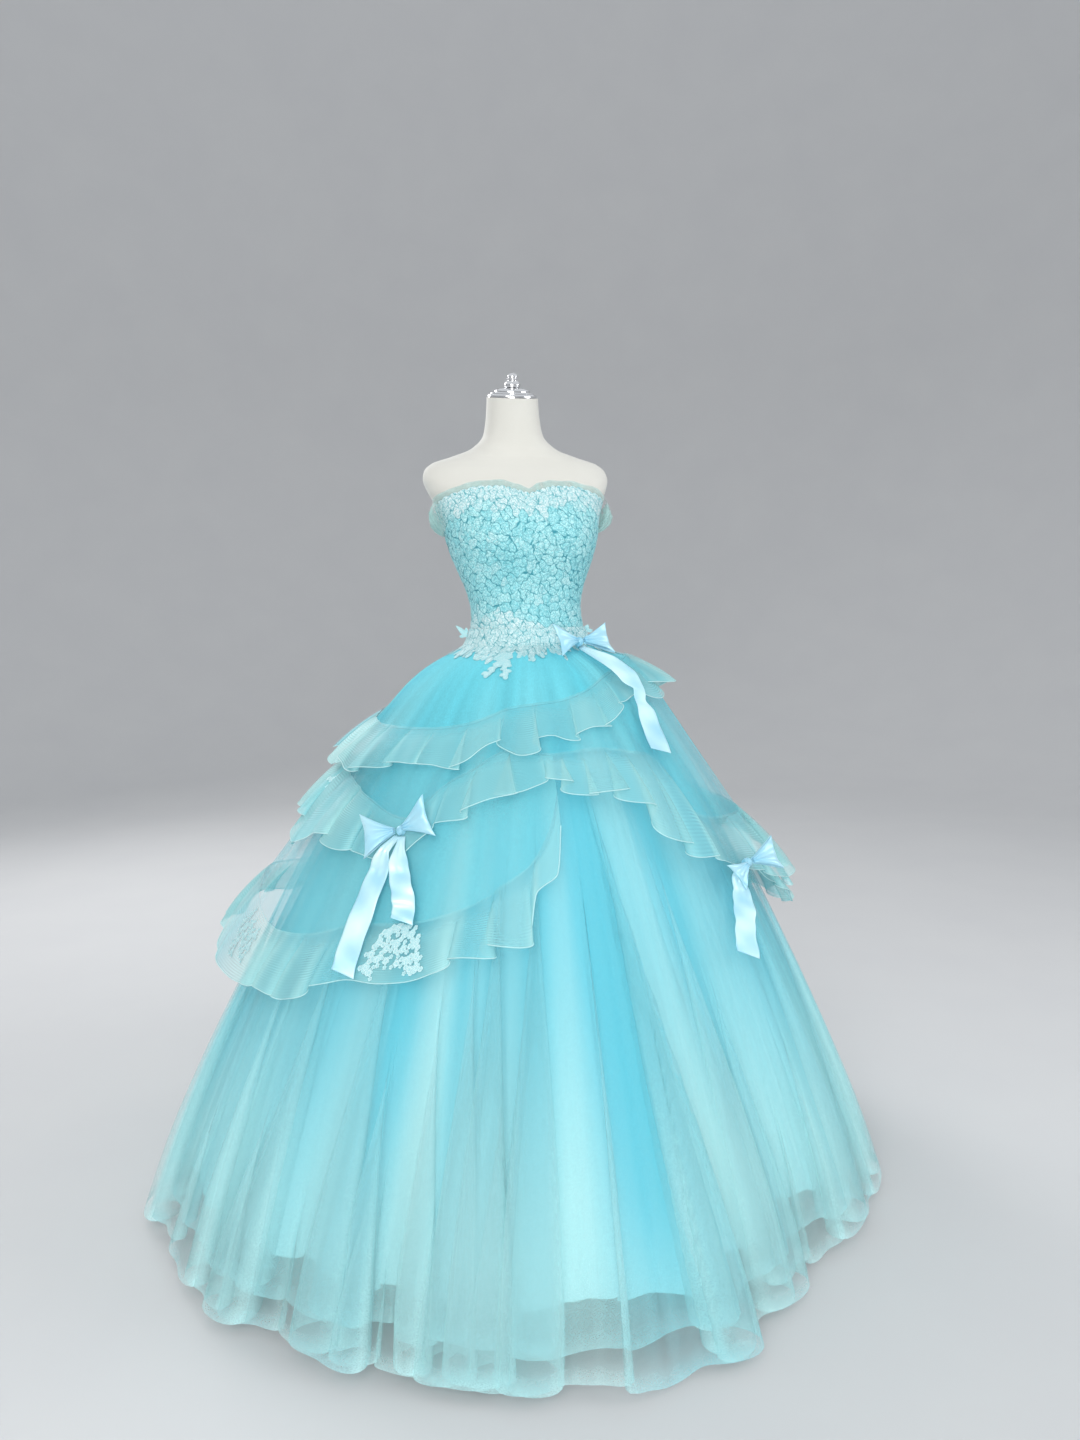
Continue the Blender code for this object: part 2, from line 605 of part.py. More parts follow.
def flounce_grid(index):
    """A flounce's outer face, a row for each share of the way from its stitching to its hem."""
    tier = TIERS[index]
    azimuth = flounce_columns(tier)
    top = stage_value(tier, "seam", azimuth) + STITCH_RISE
    hem = stage_value(tier, "hem", azimuth)
    heights = [top + (hem - top) * share for share in FLOUNCE_SHARES]
    return np.stack([polar(azimuth, flounce_radius(index, azimuth, z), z) for z in heights])


def panel_columns(tier):
    if tier.closed:
        return even_azimuths(round(360 / PANEL_STEP_DEG))
    return np.arange(tier.stages[0].azimuth, tier.stages[-1].azimuth + 1, PANEL_STEP_DEG)


def panel_grid(index):
    azimuth = panel_columns(TIERS[index])
    return np.stack([panel_points(index, azimuth, z) for z in panel_heights(index, azimuth)])


def make_tiers():
    for index, tier in enumerate(TIERS):
        cloth(f"{tier.name}_tier_panel", panel_grid(index), NET, "aqua_tulle", tier.closed)
        cloth(f"{tier.name}_tier_flounce", flounce_grid(index), NET, "organza", tier.closed)


# The lace: a scalloped border round the waist, a forked motif under it and two on the lowest
# flounce. Their points are read off the cloth they are sewn on and moved out.

WAIST_LACE_TOP = 1.060
WAIST_LACE_FOLD = 1.0345
WAIST_LACE_CLEARANCE = 0.0012
SCALLOPS = 24
SCALLOP_DEPTH = 0.004
WAIST_LACE_EDGE = (
    Edge(-150, 1.014), Edge(-75, 1.018), Edge(-55, 1.012), Edge(-42, 1.010), Edge(-20, 1.013),
    Edge(-8, 1.007), Edge(4, 1.018), Edge(35, 1.022), Edge(60, 1.018), Edge(120, 1.014),
)
MOTIF_CLEARANCE = 0.0008

# A motif's outline: for each half column of the cloth below, from this azimuth on, the row it
# starts at and the row it ends at. Row 1 of the upper panel lies at the gathers' foot; row 0 of
# a flounce is its stitching and row 2 its hem.
Strip = namedtuple("Strip", "start end")
Motif = namedtuple("Motif", "name azimuth middle strips")
FORKED_MOTIF = Motif(
    "waist_motif", -42.0, (),
    (
        Strip(1.02, 1.18), Strip(1.02, 1.42), Strip(1.02, 1.44), Strip(1.02, 1.20),
        Strip(1.02, 1.24), Strip(1.02, 1.46), Strip(1.02, 1.50), Strip(1.04, 1.16),
    ),
)
FRONT_MOTIF = Motif(
    "front_motif", -44.0, (1.0,),
    (
        Strip(0.90, 1.45), Strip(0.35, 1.60), Strip(0.12, 1.50), Strip(0.05, 1.62),
        Strip(0.05, 1.50), Strip(0.20, 1.60), Strip(0.70, 1.35),
    ),
)
SIDE_MOTIF = Motif(
    "side_motif", -95.0, (1.0,),
    (
        Strip(0.80, 1.10), Strip(0.25, 1.50), Strip(0.10, 1.30), Strip(0.30, 1.60),
        Strip(0.05, 1.35), Strip(0.15, 1.20), Strip(0.55, 1.10),
    ),
)


def moved_out(grid, distance, around=False):
    """The same points, each moved out along the normal of its own grid."""
    padded = np.concatenate([grid[:, -1:], grid, grid[:, :1]], axis=1) if around else grid
    across = np.gradient(padded, axis=1)[:, 1:-1] if around else np.gradient(grid, axis=1)
    normal = np.cross(np.gradient(grid, axis=0), across)
    return grid + distance * normal / np.linalg.norm(normal, axis=-1, keepdims=True)


def on_grid(grid, columns, rows):
    """Points on the triangles of a grid, at fractional columns and rows."""
    j = np.clip(np.floor(columns).astype(int), 0, grid.shape[1] - 2)
    i = np.clip(np.floor(rows).astype(int), 0, grid.shape[0] - 2)
    across, down = (columns - j)[..., None], (rows - i)[..., None]
    corner, beside = grid[i, j], grid[i, j + 1]
    under, opposite = grid[i + 1, j], grid[i + 1, j + 1]
    lower_half = corner + down * (under - corner) + across * (opposite - under)
    upper_half = corner + across * (beside - corner) + down * (opposite - beside)
    return np.where(down > across, lower_half, upper_half)


def make_motif(motif, grid, azimuths):
    """A lace motif on a piece whose grid has these azimuths."""
    half_columns = np.interp(motif.azimuth, azimuths, 2 * np.arange(len(azimuths)))
    columns = (round(half_columns) + np.arange(len(motif.strips))) / 2
    start = np.array([strip.start for strip in motif.strips])
    end = np.array([strip.end for strip in motif.strips])
    middle = [np.full(len(columns), row) for row in motif.middle]
    points = np.stack([on_grid(grid, columns, row) for row in [start, *middle, end]])
    cloth(motif.name, moved_out(points, LACE + MOTIF_CLEARANCE), LACE, "white_lace")


def make_lace():
    azimuth = even_azimuths(2 * SCALLOPS)
    scallop = SCALLOP_DEPTH * (np.arange(len(azimuth)) % 2 - 0.5)
    edge = column(WAIST_LACE_EDGE, "height", azimuth, turn=360) + scallop
    rows = [
        torso_points(azimuth, np.full(len(azimuth), WAIST_LACE_TOP), FORM_CLEARANCE + SATIN),
        torso_points(azimuth, np.full(len(azimuth), WAIST_LACE_FOLD), WAIST_STEPS["overskirt"]),
    ]
    panel = panel_grid(0)
    position = (azimuth - azimuth[0]) / PANEL_STEP_DEG
    down = (panel[0, 0, 2] - edge) / (panel[0, 0, 2] - panel[1, 0, 2])
    panel_around = np.concatenate([panel, panel[:, :1]], axis=1)
    rows.append(on_grid(panel_around, position, down))
    border = moved_out(np.stack(rows), LACE + WAIST_LACE_CLEARANCE, around=True)
    cloth("waist_lace", border, LACE, "white_lace", around=True)

    make_motif(FORKED_MOTIF, panel, panel_columns(TIERS[0]))
    lowest = len(TIERS) - 1
    for motif in (FRONT_MOTIF, SIDE_MOTIF):
        make_motif(motif, flounce_grid(lowest), flounce_columns(TIERS[lowest]))


# The bows: satin loops drawn together by a knot, with ribbon tails that lie on the cloth below.
# A bow leans back by its tilt in degrees. Its knot is seated this far off the outermost cloth, is
# twice this deep, and holds the loops this far in front of its middle.

Bow = namedtuple("Bow", "name azimuth height tilt off deep rise loops tails")
Loop = namedtuple("Loop", "name direction length width")
Tail = namedtuple("Tail", "name lift stations")
Station = namedtuple("Station", "azimuth height width")
BOWS = (
    Bow(
        "waist_bow", 31.6, 1.022, 44, 0.0039, 0.0110, 0.0030,
        (Loop("loop_left", 184, 0.046, 0.052), Loop("loop_right", -8, 0.050, 0.042)),
        (
            Tail("tail", -0.0014, (
                Station(33.0, 1.0232, 0.012), Station(36.5, 0.978, 0.036), Station(39.0, 0.940, 0.016),
                Station(37.0, 0.900, 0.034), Station(33.0, 0.845, 0.036),
            )),
        ),
    ),
    Bow(
        "front_bow", -44.8, 0.733, 30, 0.0006, 0.0060, 0.0,
        (Loop("loop_left", 192, 0.052, 0.058), Loop("loop_right", 25, 0.052, 0.058)),
        (
            Tail("tail_left", 0.0, (
                Station(-45.4, 0.7274, 0.009), Station(-46.8, 0.675, 0.034), Station(-47.0, 0.600, 0.038),
                Station(-46.0, 0.512, 0.038),
            )),
            Tail("tail_right", 0.0076, (
                Station(-43.9, 0.7280, 0.009), Station(-41.2, 0.680, 0.034), Station(-38.5, 0.640, 0.036),
                Station(-37.5, 0.596, 0.036),
            )),
        ),
    ),
    Bow(
        "side_bow", 44.0, 0.640, 28, 0.0006, 0.0060, 0.0,
        (Loop("loop_left", 222, 0.036, 0.040), Loop("loop_right", 24, 0.056, 0.050)),
        (
            Tail("tail", -0.0014, (
                Station(43.4, 0.6352, 0.012), Station(41.0, 0.590, 0.034), Station(37.5, 0.550, 0.038),
                Station(34.5, 0.505, 0.038),
            )),
        ),
    ),
)
KNOT_WIDE, KNOT_TALL = 0.0075, 0.0085
KNOT_SIDES, KNOT_RINGS = 8, 5
KNOT_CAP_RAD = 0.35
LOOP_GAP = 0.0002
LOOP_NECK = 0.005
LOOP_DEPTH = 0.007
LOOP_FLATNESS = 0.35
LOOP_SAMPLES = 9
LOOP_TIP_LIFT = 0.006
TAIL_SAMPLES = 8
TAIL_CLEARANCE = 0.0034
TAIL_REACH = 0.014
WAIST_BULK = 0.0125


def outer_radius(azimuth, height):
    """The outermost cloth at these azimuths and heights, with the folds and waves at their crests."""
    azimuth, height = np.broadcast_arrays(np.asarray(azimuth, float), np.asarray(height, float))
    below = np.minimum(height, WAIST_SEAM)
    figure = torso_radius(azimuth, np.maximum(height, WAIST_SEAM)) + WAIST_BULK
    radius = np.where(height > WAIST_SEAM, figure, skirt_radius(azimuth, below) + fold_depth(below))
    for index, tier in enumerate(TIERS):
        around = own_azimuth(tier, azimuth)
        covered = True if tier.closed else around >= tier.stages[0].azimuth
        rows = panel_heights(index, around)
        share = np.clip((rows[0] - below) / (rows[0] - rows[-1]), 0.0, 1.0)
        panel = shell_radius(around, below, panel_lift(index, around, share))
        on_panel = covered & (height <= rows[0]) & (height >= rows[-1])
        radius = np.where(on_panel, np.maximum(radius, panel), radius)
        flounce = flounce_radius(index, around, below)
        stitching = rows[-1] + STITCH_RISE
        on_flounce = covered & (height <= stitching) & (height >= stage_value(tier, "hem", around))
        radius = np.where(on_flounce, np.maximum(radius, flounce), radius)
    return radius


def bow_frame(bow):
    """A bow's centre and its directions: out of the cloth, sideways and up along the cloth."""
    turn, tilt = math.radians(bow.azimuth), math.radians(bow.tilt)
    radial = np.array([math.sin(turn), -math.cos(turn), 0.0])
    sideways = np.array([math.cos(turn), math.sin(turn), 0.0])
    outwards = radial * math.cos(tilt) + np.array([0.0, 0.0, math.sin(tilt)])
    upwards = np.cross(outwards, sideways)
    seat = polar(bow.azimuth, outer_radius(bow.azimuth, bow.height), bow.height)
    return seat + outwards * (bow.deep + bow.off), outwards, sideways, upwards


def make_knot(bow):
    centre, outwards, sideways, upwards = bow_frame(bow)
    around = np.arange(KNOT_SIDES) * 2 * np.pi / KNOT_SIDES
    rings = []
    steepest = 0.5 * np.pi - KNOT_CAP_RAD
    for level in np.linspace(steepest, -steepest, KNOT_RINGS):
        wide = KNOT_WIDE * np.cos(level) * np.sin(around)
        deep = bow.deep * np.cos(level) * np.cos(around)
        tall = KNOT_TALL * np.sin(level)
        rings.append(centre + wide[:, None] * sideways + deep[:, None] * outwards + tall * upwards)
    solid(f"{bow.name}_knot", rings, "blue_satin")


def make_loop(bow, loop):
    """A ribbon going out along the front, round the tip and back behind, gathered at the knot."""
    centre, outwards, sideways, upwards = bow_frame(bow)
    direction = math.radians(loop.direction)
    along = math.cos(direction) * sideways + math.sin(direction) * upwards
    across = np.cross(outwards, along)
    s = np.linspace(0.0, 1.0, LOOP_SAMPLES)
    open_up = np.sin(np.pi * s)
    reach = KNOT_WIDE + LOOP_GAP + (loop.length - KNOT_WIDE) * open_up
    apart = LOOP_DEPTH * (LOOP_FLATNESS + (1 - LOOP_FLATNESS) * open_up)
    depth = apart * np.cos(np.pi * s) + LOOP_TIP_LIFT * open_up + bow.rise
    half = LOOP_NECK + (loop.width / 2 - LOOP_NECK) * open_up ** 1.2
    rows = []
    for r, d, w in zip(reach, depth, half):
        row = [centre + along * r + outwards * d + across * w * side for side in (-1.0, 0.0, 1.0)]
        rows.append(row)
    cloth(f"{bow.name}_{loop.name}", np.array(rows), RIBBON, "blue_satin")


def make_tail(bow, tail):
    """A ribbon hanging from the knot, lying on whatever cloth is outermost below it."""
    centre = bow_frame(bow)[0]
    knot_radius = math.hypot(centre[0], centre[1])
    places = np.arange(len(tail.stations))
    t = np.linspace(0.0, places[-1], TAIL_SAMPLES)
    azimuth, height, width = (
        smooth_curve(places, [getattr(station, name) for station in tail.stations], t)
        for name in Station._fields
    )
    rows = []
    for row, (az, z, wide) in enumerate(zip(azimuth, height, width)):
        spread = math.degrees(wide / 2 / outer_radius(az, z))
        beside = az + spread * np.array([-1.0, 0.0, 1.0])[:, None]
        around = z + TAIL_REACH * min(row, 1) * np.array([-1.0, 0.0, 1.0])
        radius = outer_radius(beside, around).max() + TAIL_CLEARANCE + tail.lift * min(row / 2, 1)
        if row == 0:
            radius = max(radius, knot_radius)
        middle = polar(az, radius, z)
        turn = math.radians(az)
        sideways = np.array([math.cos(turn), math.sin(turn), 0.0])
        rows.append([middle + sideways * wide / 2 * side for side in (-1.0, 0.0, 1.0)])
    cloth(f"{bow.name}_{tail.name}", np.array(rows), RIBBON, "blue_satin")


def make_bows():
    for bow in BOWS:
        make_knot(bow)
        for loop in bow.loops:
            make_loop(bow, loop)
        for tail in bow.tails:
            make_tail(bow, tail)


def main():
    for obj in list(bpy.data.objects):
        bpy.data.objects.remove(obj, do_unlink=True)
    make_form()
    make_bodice()
    make_neckline()
    make_skirt()
    make_tiers()
    make_lace()
    make_bows()


main()
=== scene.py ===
import math
from collections import namedtuple

import bpy
import numpy as np
from mathutils import Matrix, Vector


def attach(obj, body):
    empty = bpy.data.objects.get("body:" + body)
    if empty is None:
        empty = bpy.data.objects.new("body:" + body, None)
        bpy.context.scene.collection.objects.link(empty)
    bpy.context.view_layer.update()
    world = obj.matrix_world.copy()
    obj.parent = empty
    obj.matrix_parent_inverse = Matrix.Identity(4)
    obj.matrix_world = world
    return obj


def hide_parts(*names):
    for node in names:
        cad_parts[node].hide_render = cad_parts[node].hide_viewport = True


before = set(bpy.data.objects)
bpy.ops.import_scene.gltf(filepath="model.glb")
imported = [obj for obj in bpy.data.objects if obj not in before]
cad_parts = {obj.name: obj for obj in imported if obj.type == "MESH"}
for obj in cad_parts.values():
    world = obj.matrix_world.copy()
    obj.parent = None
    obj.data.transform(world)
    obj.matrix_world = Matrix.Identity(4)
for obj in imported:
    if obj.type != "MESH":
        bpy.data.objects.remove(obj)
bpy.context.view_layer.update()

# Metres, +Z up, the gown's front towards -Y and the wearer's left towards +X. Azimuths are in
# degrees about the Z axis: 0 is the centre front and 90 the wearer's left.


# The stand: a round steel base with a pole screwed into it, which runs up into the form. Both are
# turned and brushed, so their marks run round the pole and in rings on the base.

class Look:
    """A Principled material in the making. Its methods add shader nodes and give their outputs."""

    def __init__(self, name, **sockets):
        self.material = bpy.data.materials.new(name)
        self.material.use_nodes = True
        self.tree = self.material.node_tree
        self.shader = self.tree.nodes["Principled BSDF"]
        self.set(**sockets)

    def fill(self, node, inputs):
        """Gives a node's inputs, by name or place, a value, or links them to another's output."""
        for key, value in inputs.items():
            if isinstance(value, bpy.types.NodeSocket):
                self.tree.links.new(value, node.inputs[key])
            else:
                node.inputs[key].default_value = value

    def set(self, **sockets):
        """Fills the shader's own inputs, with _ for each space in their names."""
        self.fill(self.shader, {key.replace("_", " "): value for key, value in sockets.items()})

    def add(self, kind, inputs=None, output=0, **settings):
        """Adds a shader node of this kind."""
        node = self.tree.nodes.new("ShaderNode" + kind)
        for name, value in settings.items():
            setattr(node, name, value)
        self.fill(node, inputs or {})
        return node.outputs[output]

    def place(self):
        """Where on the object a point is."""
        return self.add("TexCoord", output="Object")

    def along_cloth(self):
        """Where along the cloth a point is, in metres."""
        return self.add("UVMap", uv_map="UVMap")

    def painted(self, name):
        """The mesh attribute of this name."""
        return self.add("Attribute", output="Fac", attribute_name=name)

    def noise(self, place, scale, output=0, **more):
        """Cloudy noise, this many lumps to the metre."""
        return self.add("TexNoise", {"Vector": place, "Scale": scale, **more}, output)

    def cells(self, place, scale):
        """How far from the edge between two random cells, this many cells to the metre."""
        return self.add("TexVoronoi", {"Vector": place, "Scale": scale}, feature="DISTANCE_TO_EDGE")

    def ramp(self, value, low, high, start=0.0, end=1.0):
        """Low where the value is at start or before, high at end or beyond, straight between."""
        return self.add("MapRange", {0: value, 1: start, 2: end, 3: low, 4: high})

    def math(self, operation, *values, clamp=False):
        """A sum worked out point by point."""
        return self.add("Math", dict(enumerate(values)), operation=operation, use_clamp=clamp)

    def blend(self, share, low, high):
        """The colour low where share is 0, high where it is 1, and mixed between."""
        low, high = ((*colour, 1.0) if isinstance(colour, tuple) else colour for colour in (low, high))
        return self.add("Mix", {0: share, 6: low, 7: high}, 2, data_type="RGBA")

    def relief(self, height, strength, distance):
        """Raises the surface by this height times the distance."""
        raised = {"Strength": strength, "Distance": distance, "Height": height}
        self.set(Normal=self.add("Bump", raised))


def brushed(name, colour, stretch):
    """Steel with fine marks: noise stretched by these three scales sets roughness and bump."""
    look = Look(name, Metallic=1.0)
    place = look.place()
    marks = look.noise(look.add("Mapping", {"Vector": place, "Scale": stretch}), 1.0, Detail=3.0)
    dull = tuple(0.86 * value for value in colour)
    look.set(
        Roughness=look.ramp(marks, 0.24, 0.42), Base_Color=look.blend(look.noise(place, 9.0), dull, colour))
    look.relief(marks, 0.25, 0.0002)
    return look.material


for node_name, stretch in (("stand_pole", (30, 30, 1400)), ("stand_base", (60, 60, 60))):
    steel = brushed(f"brushed_{node_name}", (0.74, 0.74, 0.75), stretch)
    for material_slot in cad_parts[node_name].material_slots:
        material_slot.material = steel


# The dress form: a moulded torso padded out and covered in one pull of off-white stretch jersey,
# glued under the neck cap and under the hem of the torso. It is smooth, with no seams in front.

Section = namedtuple("Section", "height half_width front back behind tip")
TORSO = [Section(*row) for row in (
    (0.880, 0.150, 0.108, 0.112, 0.000, 0), (0.940, 0.152, 0.108, 0.112, 0.000, 0),
    (0.990, 0.138, 0.101, 0.101, 0.000, 0), (1.028, 0.1165, 0.0915, 0.0870, 0.000, 0),
    (1.060, 0.1075, 0.0850, 0.0800, 0.000, 0), (1.095, 0.1040, 0.0830, 0.0765, 0.000, 0),
    (1.130, 0.1100, 0.0860, 0.0790, 0.000, 0), (1.165, 0.1225, 0.0930, 0.0850, 0.000, 0),
    (1.200, 0.1350, 0.1010, 0.0910, 0.000, 0), (1.235, 0.1440, 0.1050, 0.0960, 0.000, 0),
    (1.265, 0.1500, 0.1030, 0.0980, 0.000, 0), (1.295, 0.1600, 0.0950, 0.0960, 0.002, 0),
    (1.322, 0.1740, 0.0850, 0.0890, 0.004, 0), (1.342, 0.1800, 0.0740, 0.0790, 0.006, 0),
    (1.358, 0.1760, 0.0660, 0.0720, 0.008, 1), (1.371, 0.1620, 0.0590, 0.0670, 0.010, 2),
    (1.385, 0.1220, 0.0530, 0.0620, 0.011, 4), (1.400, 0.0830, 0.0500, 0.0570, 0.011, 6),
    (1.426, 0.0570, 0.0510, 0.0530, 0.010, 8), (1.460, 0.0505, 0.0500, 0.0500, 0.004, 10),
    (1.494, 0.0480, 0.0480, 0.0480, -0.004, 12),
)]
WAIST_SEAM = 1.028
SQUARENESS = 2.25
SIDE_LEAN = -0.045
BUST_HEIGHT, BUST_RISE, BUST_AZIMUTH, BUST_SPREAD_DEG, BUST_SPREAD = 1.232, 0.020, 32.0, 22.0, 0.042
SEAM_GAP = 0.0004


def smooth_curve(xs, ys, x):
    """A monotone cubic through a table's rows, which never overshoots them."""
    xs, ys = np.asarray(xs, float), np.asarray(ys, float)
    step = np.diff(xs)
    slope = np.diff(ys) / step
    tangent = np.zeros(len(xs))
    same_way = slope[:-1] * slope[1:] > 0
    w1, w2 = 2 * step[1:] + step[:-1], step[1:] + 2 * step[:-1]
    before, after = np.where(same_way, slope[:-1], 1.0), np.where(same_way, slope[1:], 1.0)
    tangent[1:-1] = np.where(same_way, (w1 + w2) / (w1 / before + w2 / after), 0.0)
    tangent[0], tangent[-1] = slope[0], slope[-1]
    i = np.clip(np.searchsorted(xs, x, side="right") - 1, 0, len(step) - 1)
    t = np.clip((x - xs[i]) / step[i], 0.0, 1.0)
    return (
        ys[i] * (1 + 2 * t) * (1 - t) ** 2
        + tangent[i] * step[i] * t * (1 - t) ** 2
        + ys[i + 1] * t * t * (3 - 2 * t)
        + tangent[i + 1] * step[i] * t * t * (t - 1)
    )


def column(rows, name, x, key="azimuth", turn=0):
    """One named column of a table at x. With turn set, the table repeats every turn."""
    xs = [getattr(row, key) for row in rows]
    ys = [getattr(row, name) for row in rows]
    if turn:
        xs = [x0 - turn for x0 in xs] + xs + [x0 + turn for x0 in xs]
        ys = ys * 3
    return smooth_curve(xs, ys, np.asarray(x, float))


def smoothstep(t):
    """0 up to t = 0 and 1 from t = 1 on, with an S-shaped rise between them."""
    t = np.clip(t, 0.0, 1.0)
    return t * t * (3 - 2 * t)


def wrapped(azimuth):
    """The same direction between -180 and 180 degrees."""
    return (np.asarray(azimuth, float) + 180.0) % 360.0 - 180.0


def bell(azimuth, centre, spread):
    """1 at the centre, falling off round the body like a bell."""
    return np.exp(-0.5 * (wrapped(azimuth - centre) / spread) ** 2)


def polar(azimuth, radius, height):
    """Points at these azimuths, radii and heights."""
    turn, radius, height = np.broadcast_arrays(np.radians(azimuth), radius, height)
    return np.stack([radius * np.sin(turn), -radius * np.cos(turn), height], axis=-1)


def even_azimuths(count):
    """This many azimuths, evenly all round."""
    return np.arange(count) * 360.0 / count - 180.0


def down_cloth(rows):
    """Shares of a cloth's length, from 0 at its top to 1 at its foot, one for each row."""
    return np.linspace(0.0, 1.0, rows)[:, None]


def torso_radius(azimuth, height):
    """The figure's radius: a squared ellipse, its own depth before and behind, and two cups."""
    sine, cosine = np.sin(np.radians(azimuth)), np.cos(np.radians(azimuth))
    half_width = column(TORSO, "half_width", height, "height")
    front, back = (column(TORSO, name, height, "height") for name in ("front", "back"))
    depth = np.where(cosine > 0, front, back)
    radius = (np.abs(sine / half_width) ** SQUARENESS + np.abs(cosine / depth) ** SQUARENESS)
    level = np.exp(-0.5 * ((height - BUST_HEIGHT) / BUST_SPREAD) ** 2)
    cups = sum(bell(azimuth, side * BUST_AZIMUTH, BUST_SPREAD_DEG) for side in (-1, 1))
    return radius ** (-1 / SQUARENESS) + BUST_RISE * level * cups


def torso_points(azimuth, height, out=0.0):
    """Points on the figure, moved out, each ring set back and tipped, the whole leaning aside."""
    points = polar(azimuth, torso_radius(azimuth, height) + out, height)
    behind = column(TORSO, "behind", height, "height")
    tip = np.radians(column(TORSO, "tip", height, "height"))
    lean = SIDE_LEAN * np.maximum(height - WAIST_SEAM, 0.0)
    x, y, z = points[..., 0], points[..., 1], points[..., 2]
    return np.stack([x + lean, y * np.cos(tip) + behind, z + y * np.sin(tip)], axis=-1)


def piece_of(name, points, corners, starts, uv, look):
    """A piece that rides on the root: its points, its faces' corners one after another, where each
    face starts among them, and how far along the cloth each corner is, in metres."""
    mesh = bpy.data.meshes.new(name)
    mesh.vertices.add(points.size // 3)
    mesh.vertices.foreach_set("co", np.ascontiguousarray(points, np.float32).reshape(-1))
    mesh.loops.add(len(corners))
    mesh.loops.foreach_set("vertex_index", corners.astype(np.int32))
    mesh.polygons.add(len(starts))
    mesh.polygons.foreach_set("loop_start", starts.astype(np.int32))
    mesh.update(calc_edges=True)
    mesh.uv_layers.new(name="UVMap").uv.foreach_set("vector", uv.astype(np.float32).reshape(-1))
    mesh.materials.append(look.material)
    mesh.shade_smooth()
    piece = bpy.data.objects.new(name, mesh)
    bpy.context.scene.collection.objects.link(piece)
    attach(piece, "root")
    return piece


def surface(name, grid, look, around=False, ends=False, **paint):
    """A piece whose point (i, j) is grid[i, j], row i counted down it and column j round it.

    It is joined round when around is set, and closed at both ends when ends is. Its UV map goes by
    the mean steps of its columns and rows. Each array in paint is kept as an attribute.
    """
    rows, columns = grid.shape[:2]
    i, j = np.mgrid[0:rows - 1, 0:columns - (not around)]
    down, beside = np.stack([i, i + 1, i + 1, i], -1), np.stack([j, j, j + 1, j + 1], -1)
    corners = (down * columns + beside % columns).reshape(-1)
    starts = np.arange(len(corners) // 4) * 4
    if ends:
        top, bottom = np.arange(columns), (rows - 1) * columns + np.arange(columns)[::-1]
        starts = np.append(starts, [len(corners), len(corners) + columns])
        corners = np.concatenate([corners, top, bottom])

    wide = np.roll(grid, -1, axis=1) - grid
    along = np.append(0.0, np.cumsum(np.linalg.norm(wide, axis=-1).mean(axis=0)))
    deep = np.append(0.0, np.cumsum(np.linalg.norm(np.diff(grid, axis=0), axis=-1).mean(axis=1)))
    uv = np.zeros((len(corners), 2))
    uv[:down.size] = np.stack([along[beside], -deep[down]], -1).reshape(-1, 2)
    piece = piece_of(name, grid, corners, starts, uv, look)
    for key, values in paint.items():
        spread = np.broadcast_to(values, (rows, columns)).astype(np.float32)
        attribute = piece.data.attributes.new(key, "FLOAT", "POINT")
        attribute.data.foreach_set("value", spread.reshape(-1))
    return piece


# Fine stretch knit: tiny loops about a millimetre apart, and a faint cloudiness in its colour.
jersey = Look("off_white_jersey", Roughness=0.72, Sheen_Weight=0.25, Sheen_Roughness=0.5)
place = jersey.place()
cloud = jersey.noise(place, 14.0, Detail=4.0)
jersey.set(Base_Color=jersey.blend(cloud, (0.6417, 0.6324, 0.5796), (0.69, 0.68, 0.63)))
knit = jersey.add("Mapping", {"Vector": place, "Scale": (1.0, 1.0, 1.6)})
loops = jersey.add("TexVoronoi", {"Vector": knit, "Scale": 900.0}, "Distance")
jersey.relief(loops, 0.25, 0.0002)

# The rings are evenly spaced along the outline, so they crowd where the shoulders turn over.
fine = np.linspace(TORSO[0].height, TORSO[-1].height, 4000)
steps = np.hypot(np.diff(fine), np.diff(column(TORSO, "half_width", fine, "height")))
walked = np.append(0.0, np.cumsum(steps))
torso_heights = np.interp(np.linspace(walked[-1], 0.0, 170), walked, fine)[:, None]
torso = surface(
    "form_padding", torso_points(even_azimuths(150)[None], torso_heights), jersey,
    around=True, ends=True)
torso.data.set_sharp_from_angle(angle=math.radians(60))
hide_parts("form_torso")


# The neck cap and its finial: stepped discs and a ribbed knob turned from brass and chromed, the
# cap pressed over the neck's edge and the knob screwed into it. The profiles list each turned
# ridge's radius and its height over the piece's foot.

CAP_PROFILE = (
    (0.0002, 0.01768), (0.0120, 0.0176), (0.0190, 0.0175), (0.0225, 0.0170), (0.0260, 0.0160),
    (0.0300, 0.0146), (0.0326, 0.0133), (0.0334, 0.0127), (0.0338, 0.0118), (0.0340, 0.0102),
    (0.0350, 0.0097), (0.0400, 0.0088), (0.0415, 0.0083), (0.0420, 0.0077), (0.0420, 0.0064),
    (0.0426, 0.0058), (0.0450, 0.0046), (0.0461, 0.0040), (0.0465, 0.0033), (0.0465, 0.0000),
)
KNOB_PROFILE = (
    (0.0002, 0.0265), (0.0022, 0.0264), (0.0040, 0.0261), (0.0060, 0.0251), (0.0075, 0.0238),
    (0.0090, 0.0226), (0.0099, 0.0216), (0.0102, 0.0206), (0.0099, 0.0196), (0.0090, 0.0189),
    (0.0085, 0.0183), (0.0086, 0.0178), (0.0100, 0.0174), (0.0106, 0.0168), (0.0106, 0.0156),
    (0.0101, 0.0149), (0.0091, 0.0142), (0.0090, 0.0135), (0.0098, 0.0124), (0.0120, 0.0106),
    (0.0140, 0.0085), (0.0153, 0.0066), (0.0156, 0.0050), (0.0152, 0.0033), (0.0140, 0.0014),
    (0.0122, 0.0000),
)


